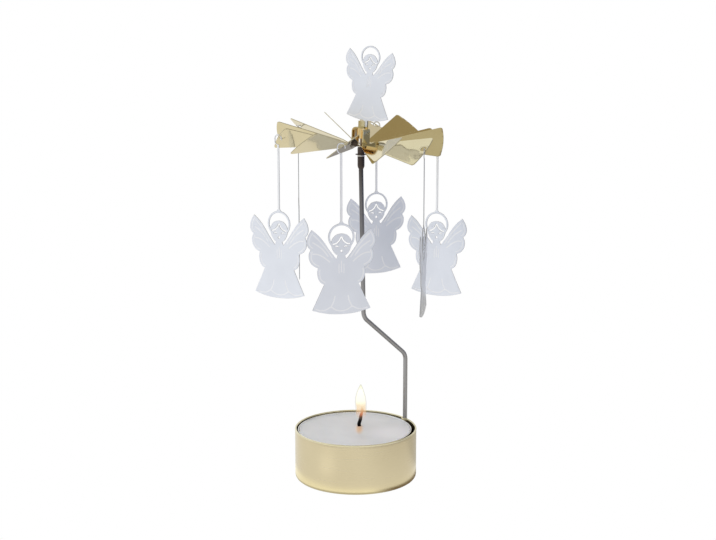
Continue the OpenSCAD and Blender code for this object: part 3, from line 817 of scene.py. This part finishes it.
def angel_plate(scale=1.0, extra_solids=(), t=ANGEL_T):
    """The angel's sheet with its halo's top at zero. extra_solids are in unscaled millimetres."""
    solids = [BODY, HEAD_LOOP]
    ring_out, ring_in = circle(0, -4.2, 4.2, 96), circle(0, -4.2, 3.6, 96)
    grow = lambda p: [(x * scale, y * scale) for x, y in p]
    s_reg = [Region(grow(p)) for p in solids]
    r_out, r_in = Region(grow(ring_out)), Region(grow(ring_in))
    cuts = [Region(grow(p)) for p in CUTS]
    grooves = [Region(grow(p)) for p in GROOVES]
    extra = [Region(list(p)) for p in extra_solids]

    def test(x, y):
        if any(c.has(x, y) for c in cuts):
            return None
        if not (any(s.has(x, y) for s in s_reg) or (r_out.has(x, y) and not r_in.has(x, y))
                or any(e.has(x, y) for e in extra)):
            return None
        if s_reg[0].has(x, y) and any(g.has(x, y) for g in grooves):
            return 1
        if y > 0.3 * scale:
            return 3
        return 0

    loops = [r.poly for r in s_reg + [r_out, r_in] + cuts + grooves + extra]
    pts, tris, zones = cut_sheet(loops, test)
    return plate(pts, tris, zones, t, 0.08, 0.045)


HOOK_VANE = [0, 2, 4, 6, 8, 10]
HOOK_FACE = [14, 81, 152, 200, -87, -28]
HOOK_IN, HOOK_W, HANGER_L, STRIP_W = 1.0, 0.38, 23.4, 0.7
HANGING = ["front", "front_right", "right", "back", "back_left", "left"]


def hook_beta(k):
    return math.degrees(math.acos(abs(math.cos(math.radians(HOOK_FACE[k] - az(HOOK_VANE[k]) + 90)))))


def seat(k):
    i = HOOK_VANE[k]
    u = HOLE_T - (HOOK_IN + HOOK_W / 2) * math.sin(math.radians(hook_beta(k))) / math.cos(math.radians(TWIST[i]))
    return on_wheel(vane_place(i, SEAT_R0, u) + Vector((WHEEL_OFF[0], WHEEL_OFF[1], -HUB_DROP)))


def hook_c(k):
    i = HOOK_VANE[k]
    tw, bb = math.radians(TWIST[i]), math.radians(hook_beta(k))
    e = math.sqrt(math.cos(bb) ** 2 + (math.sin(bb) / math.cos(tw)) ** 2)
    l = HOOK_WEB / 2 / math.cos(bb) * e + 0.1
    s = math.atan(math.sin(bb) * math.tan(tw))
    h = WHEEL_T / 2 + 0.05
    ax = min(l * math.cos(s) + h * math.sin(s), HOOK_IN - 0.02)
    ay = l * math.sin(s) + h * math.cos(s)
    bx = min(l * math.cos(s) - h * math.sin(s), HOOK_IN - 0.02)
    by = h * math.cos(s) - l * math.sin(s)
    return max(ay - math.sqrt(HOOK_IN ** 2 - ax * ax), by - math.sqrt(HOOK_IN ** 2 - bx * bx)) + 0.32


def build_hanging(k):
    c = hook_c(k)
    ro, ri = HOOK_IN + HOOK_W, HOOK_IN + 0.03
    top = c + HANGER_L  # the plate's own zero is the halo's top
    low = top - 0.75
    end = math.degrees(math.acos(0.2 / ri))
    hook = (arc(0, low, ri, -end, -180, 30) + arc(0, top, ri, 180, 0, 36) + [(ri, top - 0.45), (ro, top - 0.45)]
            + arc(0, top, ro, 0, 180, 28) + arc(0, low, ro, -180, -math.degrees(math.acos(0.2 / ro)), 22))
    w = STRIP_W / 2
    strip = [(-w, -0.3), (w, -0.3), (w, low - ri - 0.1), (-w, low - ri - 0.1)]
    peak = [(-1.3, -0.3), (1.3, -0.3), (0.75, 0.02), (w, 0.6), (-w, 0.6), (-0.75, 0.02)]
    verts, faces, mats = angel_plate(extra_solids=[hook, strip, peak])
    f = math.radians(HOOK_FACE[k])
    s = seat(k)
    out = []
    for x, y, z in verts:
        z -= HANGER_L
        out.append((s.x + x * math.cos(f) - y * math.sin(f), s.y + x * math.sin(f) + y * math.cos(f), s.z + z))
    ob = mesh_object("hanging_angel_" + HANGING[k], out, faces, mats, [angel_face, angel_groove, angel_rim, bright_strip])
    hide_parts("angel_" + HANGING[k])
    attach(ob, "pendant_" + HANGING[k])
    return ob


TOP_FACE, TOP_SHIFT, TOP_LEAN, TOP_SCALE = -31, 2.1, 1.3, 0.84


def build_top():
    k = TOP_SCALE
    low = -28.5 * k - 2.1
    tab = [(-1.2, low + 0.15), (-1.05, low), (0.05, low), (0.2, low + 0.15), (0.2, -27 * k), (-1.2, -27 * k)]
    verts, faces, mats = angel_plate(scale=k, extra_solids=[tab])
    a, b = math.radians(TOP_FACE), math.radians(TOP_LEAN)
    out = []
    for x, y, z in verts:
        z += 28.5 * k
        x, z = x * math.cos(b) + z * math.sin(b) + TOP_SHIFT, z * math.cos(b) - x * math.sin(b) + 2.4
        out.append(on_wheel((x * math.cos(a) - y * math.sin(a), x * math.sin(a) + y * math.cos(a), z)))
    ob = mesh_object("standing_angel", out, faces, mats, [angel_face, angel_groove, angel_rim, bright_strip])
    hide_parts("top_angel")
    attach(ob, "rotor")
    return ob


angels = [build_hanging(k) for k in range(6)] + [build_top()]

# ------------------------------------------------------------------- cup
CUP_R, CUP_H, CUP_T = 20.5, 17.0, 0.4
WIRE_AZ = 33
SLITS = ((2.85, 3.15), (7.25, 7.55), (12.05, 12.35))


def dent(t, z):
    """How far a strap stands out of the wall, t millimetres beside the wire's line."""
    if z < 3.0:
        return 0.0
    side = 1.0 if 7.4 < z < 12.2 else -1.0
    return side * 0.97 * math.exp(-((t / 0.85) ** 4))


def cup_angles():
    fine = [WIRE_AZ - 8 + 0.25 * k for k in range(65)]
    rest = [WIRE_AZ + 8 + k * (344 / 300) for k in range(1, 300)]
    return fine + rest


def build_cup():
    """The cup as one sheet: bottom, rounded corner and wall with the three straps."""
    angles = cup_angles()
    n = len(angles)
    rows = [(4.0, 0.2), (9.0, 0.2), (14.0, 0.2), (17.5, 0.2), (19.3, 0.2)]
    rows += [(19.3 + math.sin(math.radians(a)), 1.2 - math.cos(math.radians(a))) for a in (15, 30, 45, 60, 75, 90)]
    zs = [2.0, 2.85, 3.15, 3.15, 4.2, 5.2, 6.2, 7.25, 7.25, 7.55, 7.55, 8.6, 9.8, 11.0, 12.05, 12.05, 12.35, 12.35,
          13.4, 14.5, 15.6, 16.5]
    verts, faces = [(0, 0, 0.2)], []
    grid = []
    strap_rows = []
    for r, z in rows:
        grid.append((z, [(r, a, 0.0) for a in angles]))
    last = None
    for z in zs:
        doubled = z == last
        last = z
        # the lower one of two rows at a slit's edge belongs to what lies under it
        probe = z + 0.05 if doubled or z in (4.2, 5.2, 6.2, 8.6, 9.8, 11.0, 13.4, 14.5, 15.6, 16.5) else z - 0.05
        row = []
        for a in angles:
            t = ((a - WIRE_AZ + 180) % 360 - 180) * math.pi / 180 * 20.3
            row.append((20.3, a, dent(t, probe)))
        grid.append((z, row))
    index = []
    for z, row in grid:
        ids = []
        for r, a, d in row:
            ids.append(len(verts))
            c, s_ = math.cos(math.radians(a)), math.sin(math.radians(a))
            verts.append(((r + d) * c, (r + d) * s_, z))
        index.append(ids)
    for k in range(n):
        faces.append((0, index[0][(k + 1) % n], index[0][k]))
    for q in range(len(index) - 1):
        z0, z1 = grid[q][0], grid[q + 1][0]
        if z1 - z0 < 1e-6 and z0 > 2.5:
            continue
        slit = any(z0 >= lo - 1e-6 and z1 <= hi + 1e-6 for lo, hi in SLITS)
        for k in range(n):
            k2 = (k + 1) % n
            if slit:
                mid = ((angles[k] + angles[k2]) / 2 - WIRE_AZ) * math.pi / 180 * 20.3
                if k2 and abs(mid) < 1.8:
                    continue
            faces.append((index[q][k], index[q][k2], index[q + 1][k2], index[q + 1][k]))
    ob = mesh_object("cup_shell", verts, faces, materials=[cup_brass], smooth=True)
    bm = bmesh.new()
    bm.from_mesh(ob.data)
    bmesh.ops.remove_doubles(bm, verts=bm.verts, dist=0.000002)
    bmesh.ops.recalc_face_normals(bm, faces=bm.faces)
    bm.to_mesh(ob.data)
    bm.free()
    sol = ob.modifiers.new("thickness", "SOLIDIFY")
    sol.thickness = CUP_T * MM
    sol.offset = 0
    bev = ob.modifiers.new("edge", "BEVEL")
    bev.width = 0.06 * MM
    bev.segments = 2
    bev.limit_method = "ANGLE"
    bev.angle_limit = math.radians(60)
    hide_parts("candle_cup")
    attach(ob, "stand")
    return ob


def build_rim():
    """The rolled rim, which follows the upper strap round the wire."""
    path = []
    for a in cup_angles():
        t = ((a - WIRE_AZ + 180) % 360 - 180) * math.pi / 180 * 20.3
        d = math.exp(-((t / 0.95) ** 4))
        r = 20.24 - 0.93 * d
        path.append((r * math.cos(math.radians(a)), r * math.sin(math.radians(a)), 0.32 - 0.08 * d))
    n, m = len(path), 16
    verts, faces = [], []
    for k in range(n):
        x, y, rad = path[k]
        x0, y0, _ = path[k - 1]
        x1, y1, _ = path[(k + 1) % n]
        dx, dy = x1 - x0, y1 - y0
        h = math.hypot(dx, dy)
        nx, ny = dy / h, -dx / h
        for j in range(m):
            a = 2 * math.pi * j / m
            verts.append((x + nx * rad * math.cos(a), y + ny * rad * math.cos(a), 16.67 + rad * math.sin(a)))
    for k in range(n):
        k2 = (k + 1) % n
        for j in range(m):
            j2 = (j + 1) % m
            faces.append((k * m + j, k2 * m + j, k2 * m + j2, k * m + j2))
    ob = mesh_object("cup_rim", verts, faces, materials=[rim_brass], smooth=True)
    bm = bmesh.new()
    bm.from_mesh(ob.data)
    bmesh.ops.recalc_face_normals(bm, faces=bm.faces)
    bm.to_mesh(ob.data)
    bm.free()
    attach(ob, "stand")
    return ob


cup = build_cup()
rim = build_rim()


# ------------------------------------------------------------------ candle
def lathe(name, profile, mat, seg=160, smooth=True, centre=(0, 0)):
    verts, faces = [], []
    m = len(profile)
    rings = []
    for r, z in profile:
        if r < 1e-6:
            rings.append([len(verts)])
            verts.append((centre[0], centre[1], z))
        else:
            rings.append(list(range(len(verts), len(verts) + seg)))
            verts += [(centre[0] + r * math.cos(2 * math.pi * k / seg), centre[1] + r * math.sin(2 * math.pi * k / seg), z)
                      for k in range(seg)]
    for a, b in zip(rings, rings[1:]):
        for k in range(seg):
            k2 = (k + 1) % seg
            if len(a) == 1:
                faces.append((a[0], b[k2], b[k]))
            elif len(b) == 1:
                faces.append((a[k], a[k2], b[0]))
            else:
                faces.append((a[k], a[k2], b[k2], b[k]))
    ob = mesh_object(name, verts, faces, materials=[mat], smooth=smooth)
    bm = bmesh.new()
    bm.from_mesh(ob.data)
    bmesh.ops.recalc_face_normals(bm, faces=bm.faces)
    bm.to_mesh(ob.data)
    bm.free()
    return ob


WAX_Z = 16.1
LIGHT_AT = (-0.35, 0.3)
WICK_X, WICK_Y = 1.2, 3.8


def build_wax():
    """Wax with a flat top that rises a little where it wets the wick and the foil."""
    r = 18.69
    prof = [(0.0, 0.76), (r - 0.7, 0.76), (r - 0.2, 0.96), (r, 1.46), (r, WAX_Z - 0.45)]
    prof += [(r, WAX_Z + 0.22), (r - 0.12, WAX_Z + 0.16), (r - 0.35, WAX_Z + 0.08), (r - 0.7, WAX_Z + 0.02), (r - 1.2, WAX_Z)]
    prof += [(r - 1.2 - k * 1.09, WAX_Z - 0.02 * math.sin(k * 0.2)) for k in range(1, 16)]
    prof += [(0.0, WAX_Z - 0.03)]
    ob = lathe("wax_fill", prof, wax_mat, centre=LIGHT_AT)
    for v in ob.data.vertices:
        if v.co.z > (WAX_Z - 0.3) * MM:
            d = math.hypot(v.co.x / MM - WICK_X, v.co.y / MM - WICK_Y)
            v.co.z += 0.25 * MM * math.exp(-((d / 1.3) ** 2)) - 0.12 * MM * math.exp(-((d / 6) ** 2))
    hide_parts("wax")
    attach(ob, "tealight")
    return ob


def tube(name, path, radii, mat, seg=20, twist=0.0, lobes=0, depth=0.0):
    """A tube along a path, with a braid's lobes if asked."""
    verts, faces = [], []
    rings = []
    m = len(path)
    for i in range(m):
        p = Vector(path[i])
        d = (Vector(path[min(i + 1, m - 1)]) - Vector(path[max(i - 1, 0)])).normalized()
        side = d.cross(Vector((0, 1, 0)))
        if side.length < 1e-6:
            side = Vector((1, 0, 0))
        side.normalize()
        up = side.cross(d).normalized()
        ring = []
        for k in range(seg):
            a = 2 * math.pi * k / seg
            r = radii[i] * (1 + depth * math.cos(lobes * a + twist * i) + depth * 0.6 * math.cos(lobes * a - twist * i))
            ring.append(len(verts))
            verts.append(p + side * (r * math.cos(a)) + up * (r * math.sin(a)))
        rings.append(ring)
    for a, b in zip(rings, rings[1:]):
        for k in range(seg):
            k2 = (k + 1) % seg
            faces.append((a[k], b[k], b[k2], a[k2]))
    faces.append(tuple(rings[0]))
    faces.append(tuple(reversed(rings[-1])))
    ob = mesh_object(name, verts, faces, materials=[mat], smooth=True)
    bm = bmesh.new()
    bm.from_mesh(ob.data)
    bmesh.ops.recalc_face_normals(bm, faces=bm.faces)
    bm.to_mesh(ob.data)
    bm.free()
    return ob


def build_wick():
    path, radii = [], []
    count = 44
    for k in range(count + 1):
        f = k / count
        z = 1.6 + (21.15 - 1.6) * f
        g = max((z - 16.6) / (21.15 - 16.6), 0)
        path.append((WICK_X + 1.0 * g ** 1.3, WICK_Y, z))
        radii.append(0.62 - 0.1 * g if f < 0.97 else 0.4 if f < 0.99 else 0.2)
    ob = tube("wick_braid", path, radii, wick_mat, seg=24, twist=0.9, lobes=3, depth=0.1)
    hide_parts("wick")
    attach(ob, "tealight")
    return ob


def build_flame():
    """The flame's pale mantle, its bright core and the warm parts round the wick's tip, as shells."""
    halo = [(0.0, 17.3), (0.6, 17.6), (1.25, 18.6), (1.7, 20.2), (1.95, 22.2), (2.0, 24.4), (1.78, 26.4),
            (1.32, 28.1), (0.75, 29.6), (0.3, 30.6), (0.0, 30.9)]
    core = [(0.0, 19.8), (0.6, 20.1), (1.15, 21.1), (1.5, 22.4), (1.62, 24.2), (1.42, 26.2), (1.0, 27.9),
            (0.55, 29.2), (0.2, 30.1), (0.0, 30.4)]
    heart = [(0.0, 18.2), (0.8, 18.5), (1.55, 19.6), (1.75, 20.9), (1.5, 22.4), (0.9, 23.8), (0.35, 24.6), (0.0, 24.8)]
    ember = [(0.0, 20.5), (0.3, 20.7), (0.5, 21.3), (0.42, 22.1), (0.22, 22.8), (0.0, 23.2)]
    out = []
    for name, prof, mat, x in (("candle_flame", halo, flame_halo, 1.75), ("candle_flame_core", core, flame_core, 1.75),
                               ("candle_flame_heart", heart, flame_heart, 1.75), ("candle_flame_ember", ember, flame_ember, 2.1)):
        ob = lathe(name, prof, mat, seg=48, centre=(x, WICK_Y))
        for v in ob.data.vertices:
            # the flame leans a little towards its tip
            v.co.x += 0.12 * MM * math.sin((v.co.z / MM - 17) * 0.45)
        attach(ob, "tealight")
        out.append(ob)
    return out


def build_foil():
    """The tealight's deep-drawn cup with its small curled edge."""
    t, r, z0, z1 = 0.16, 19.0, 0.45, 16.45
    prof = [(0.0, z0 + 0.35), (7.0, z0 + 0.35), (7.6, z0 + 0.12), (8.2, z0), (r - 1.0, z0)]
    prof += [(r - 1 + math.sin(math.radians(a)), z0 + 1 - math.cos(math.radians(a))) for a in (20, 40, 60, 80, 90)]
    prof += [(r, z1 - 0.5), (r, z1 - 0.3)]
    prof += [(r + 0.06 + 0.17 * math.cos(math.radians(a)), z1 - 0.17 + 0.17 * math.sin(math.radians(a)))
             for a in (-70, -30, 0, 30, 60, 90, 120, 150)]
    prof += [(r - t, z1 - 0.25), (r - t, z0 + 1.1)]
    prof += [(r - 1 + (1 - t) * math.cos(math.radians(a)), z0 + 1 - (1 - t) * math.sin(math.radians(a))) for a in (20, 50, 90)]
    prof += [(8.3, z0 + t), (7.65, z0 + 0.12 + t), (7.0, z0 + 0.35 + t), (0.0, z0 + 0.35 + t)]
    ob = lathe("tealight_foil", prof, light_alu, centre=LIGHT_AT)
    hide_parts("tealight_cup")
    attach(ob, "tealight")
    return ob


foil = build_foil()
wax = build_wax()
wick = build_wick()
flame = build_flame()

# ------------------------------------------------------------ stage, light
cam_data = bpy.data.cameras.new("camera")
cam_data.lens = 64.986
cam_data.sensor_width = 36
cam = bpy.data.objects.new("camera", cam_data)
scene.collection.objects.link(cam)
cam.location = (0.00078, -0.420765, 0.147643)
cam.rotation_euler = (math.radians(90 - 10.332), 0, 0)
cam_data.clip_start = 0.01
cam_data.clip_end = 50
scene.camera = cam


def smooth_range(n, l, value, lo, hi, a=0.0, b=1.0):
    r = n.new("ShaderNodeMapRange")
    r.interpolation_type = "SMOOTHSTEP"
    for k, v in (("From Min", lo), ("From Max", hi), ("To Min", a), ("To Max", b)):
        r.inputs[k].default_value = v
    l.new(value, r.inputs["Value"])
    return r.outputs[0]


def times(n, l, a, b):
    r = n.new("ShaderNodeMath")
    r.operation = "MULTIPLY"
    l.new(a, r.inputs[0])
    if isinstance(b, float):
        r.inputs[1].default_value = b
    else:
        l.new(b, r.inputs[1])
    return r.outputs[0]


def blend(n, l, fac, below, colour):
    """Mixes a colour over what is there, by a mask."""
    r = n.new("ShaderNodeMix")
    r.data_type = "RGBA"
    l.new(fac, r.inputs["Factor"])
    l.new(below, r.inputs[6])
    r.inputs[7].default_value = (*colour, 1)
    return r.outputs[2]


def floor_material():
    """White to the camera; what the metal mirrors is a pale sweep that darkens behind the object."""
    m, n, l = material("floor_white")
    geo = n.new("ShaderNodeNewGeometry")
    sep = n.new("ShaderNodeSeparateXYZ")
    l.new(geo.outputs["Position"], sep.inputs[0])
    base = n.new("ShaderNodeRGB")
    base.outputs[0].default_value = (0.97, 0.97, 0.97, 1)
    # the right side lies a little further from the light
    col = blend(n, l, smooth_range(n, l, sep.outputs["X"], 0.0, 0.09), base.outputs[0], (0.74, 0.725, 0.71))
    # a brighter strip of sweep in front on the left
    spot = n.new("ShaderNodeVectorMath")
    spot.operation = "DISTANCE"
    spot.inputs[1].default_value = (-0.034, -0.036, 0)
    l.new(geo.outputs["Position"], spot.inputs[0])
    col = blend(n, l, smooth_range(n, l, spot.outputs["Value"], 0.018, 0.004, 0.0, 0.9), col, (1.2, 1.2, 1.2))
    # painted shade on the floor behind, on the right
    back = times(n, l, smooth_range(n, l, sep.outputs["Y"], 0.06, 0.11), smooth_range(n, l, sep.outputs["X"], 0.022, 0.037))
    col = blend(n, l, back, col, (0.56, 0.53, 0.42))
    far = times(n, l, smooth_range(n, l, sep.outputs["Y"], 0.2, 0.36), smooth_range(n, l, sep.outputs["X"], -0.05, 0.03))
    col = blend(n, l, far, col, (0.32, 0.31, 0.32))
    # far out on the right the room is dim
    left = times(n, l, smooth_range(n, l, sep.outputs["X"], -0.1, -0.25), smooth_range(n, l, sep.outputs["Y"], -0.04, -0.16))
    col = blend(n, l, left, col, (0.84, 0.84, 0.84))
    side = smooth_range(n, l, sep.outputs["X"], 0.2, 0.36)
    col = blend(n, l, side, col, (0.27, 0.24, 0.21))
    col = blend(n, l, smooth_range(n, l, sep.outputs["X"], 0.42, 0.54), col, (0.27, 0.33, 0.54))
    # painted shade beside the cup's rear right, and round the cup a painted ring of the warm light it throws on the
    # floor, with a painted contact shadow at its foot
    near = times(n, l, smooth_range(n, l, sep.outputs["X"], 0.016, 0.026), smooth_range(n, l, sep.outputs["Y"], 0.002, 0.016))
    near = times(n, l, near, smooth_range(n, l, sep.outputs["Y"], 0.085, 0.06))
    col = blend(n, l, near, col, (0.64, 0.63, 0.61))
    flat = n.new("ShaderNodeVectorMath")
    flat.operation = "MULTIPLY"
    flat.inputs[1].default_value = (1, 1, 0)
    l.new(geo.outputs["Position"], flat.inputs[0])
    reach = n.new("ShaderNodeVectorMath")
    reach.operation = "LENGTH"
    l.new(flat.outputs[0], reach.inputs[0])
    # painted ring of light on the floor round the cup
    ring = times(n, l, smooth_range(n, l, reach.outputs["Value"], 0.0285, 0.0255, 0.0, 0.9),
                 smooth_range(n, l, sep.outputs["X"], 0.016, 0.004, 0.3, 1.0))
    col = blend(n, l, ring, col, (1.28, 1.28, 1.14))
    # painted contact shadow just under the cup's edge
    col = blend(n, l, smooth_range(n, l, reach.outputs["Value"], 0.0223, 0.0213, 0.0, 0.7), col, (0.5, 0.49, 0.43))
    # deeper painted shadow under the cup's right side
    shadow_under_right = times(n, l, smooth_range(n, l, reach.outputs["Value"], 0.0246, 0.0226), smooth_range(n, l, sep.outputs["X"], 0.006, 0.015))
    col = blend(n, l, shadow_under_right, col, (0.26, 0.21, 0.15))
    seen = n.new("ShaderNodeLightPath")
    white = n.new("ShaderNodeEmission")
    white.inputs["Color"].default_value = (1, 1, 1, 1)
    white.inputs["Strength"].default_value = 1.0
    other = n.new("ShaderNodeEmission")
    other.inputs["Strength"].default_value = 1.0
    l.new(col, other.inputs["Color"])
    mix = n.new("ShaderNodeMixShader")
    l.new(seen.outputs["Is Camera Ray"], mix.inputs[0])
    l.new(other.outputs[0], mix.inputs[1])
    l.new(white.outputs[0], mix.inputs[2])
    out = n.new("ShaderNodeOutputMaterial")
    l.new(mix.outputs[0], out.inputs[0])
    return m


bm = bmesh.new()
bmesh.ops.create_grid(bm, x_segments=4, y_segments=4, size=3)
floor_me = bpy.data.meshes.new("floor")
bm.to_mesh(floor_me)
bm.free()
floor_me.materials.append(floor_material())
floor = bpy.data.objects.new("floor", floor_me)
floor.location.z = -0.00005
scene.collection.objects.link(floor)

# the studio: a white surround to the camera, a soft room with darker and brighter
# parts to everything that mirrors it
world = bpy.data.worlds.new("studio")
scene.world = world
world.use_nodes = True
wn = world.node_tree.nodes
wl = world.node_tree.links
wn.clear()
co = wn.new("ShaderNodeTexCoord")
sep = wn.new("ShaderNodeSeparateXYZ")
wl.new(co.outputs["Generated"], sep.inputs[0])
sky = ramp(wn, [(0.0, (0.86, 0.86, 0.87)), (0.45, (0.93, 0.94, 0.97)), (0.78, (0.86, 0.86, 0.88)), (0.95, (0.5, 0.48, 0.46)),
                (1.0, (0.46, 0.44, 0.41))])
wl.new(sep.outputs["Z"], sky.inputs[0])


def toward(az_deg, el_deg, inner, outer, strength):
    """Mask round a direction: azimuth from the front towards the right, and elevation, in degrees."""
    a, e = math.radians(az_deg), math.radians(el_deg)
    d = wn.new("ShaderNodeVectorMath")
    d.operation = "DOT_PRODUCT"
    d.inputs[1].default_value = (math.sin(a) * math.cos(e), -math.cos(a) * math.cos(e), math.sin(e))
    wl.new(co.outputs["Generated"], d.inputs[0])
    return smooth_range(wn, wl, d.outputs["Value"], math.cos(math.radians(outer)), math.cos(math.radians(inner)), 0.0, strength)


col = sky.outputs[0]
for a, e, inner, outer, k, c in (
        (120, 62, 16, 34, 1.0, (0.43, 0.36, 0.225)),
        (160, 28, 6, 20, 0.8, (0.72, 0.68, 0.62)),
        (-138, 51, 12, 30, 0.9, (1.04, 1.09, 1.16)),
        (-162, 19, 8, 22, 0.8, (1.1, 1.1, 1.08)),
        (-101, 78, 5, 14, 0.8, (0.7, 0.66, 0.53)),
        (75, 10, 20, 60, 0.6, (0.74, 0.74, 0.75)),
        (-62, 4, 14, 40, 0.7, (0.76, 0.76, 0.77)),
        (103, 8, 12, 32, 0.95, (0.3, 0.31, 0.36))):
    col = blend(wn, wl, toward(a, e, inner, outer, k), col, c)
room = wn.new("ShaderNodeBackground")
room.inputs["Strength"].default_value = 1.0
wl.new(col, room.inputs["Color"])
clear = wn.new("ShaderNodeBackground")
clear.inputs["Color"].default_value = (1, 1, 1, 1)
clear.inputs["Strength"].default_value = 1.0
seen = wn.new("ShaderNodeLightPath")
mix = wn.new("ShaderNodeMixShader")
wl.new(seen.outputs["Is Camera Ray"], mix.inputs[0])
wl.new(room.outputs[0], mix.inputs[1])
wl.new(clear.outputs[0], mix.inputs[2])
wo = wn.new("ShaderNodeOutputWorld")
wl.new(mix.outputs[0], wo.inputs[0])

scene.view_settings.view_transform = "Standard"
scene.view_settings.look = "None"
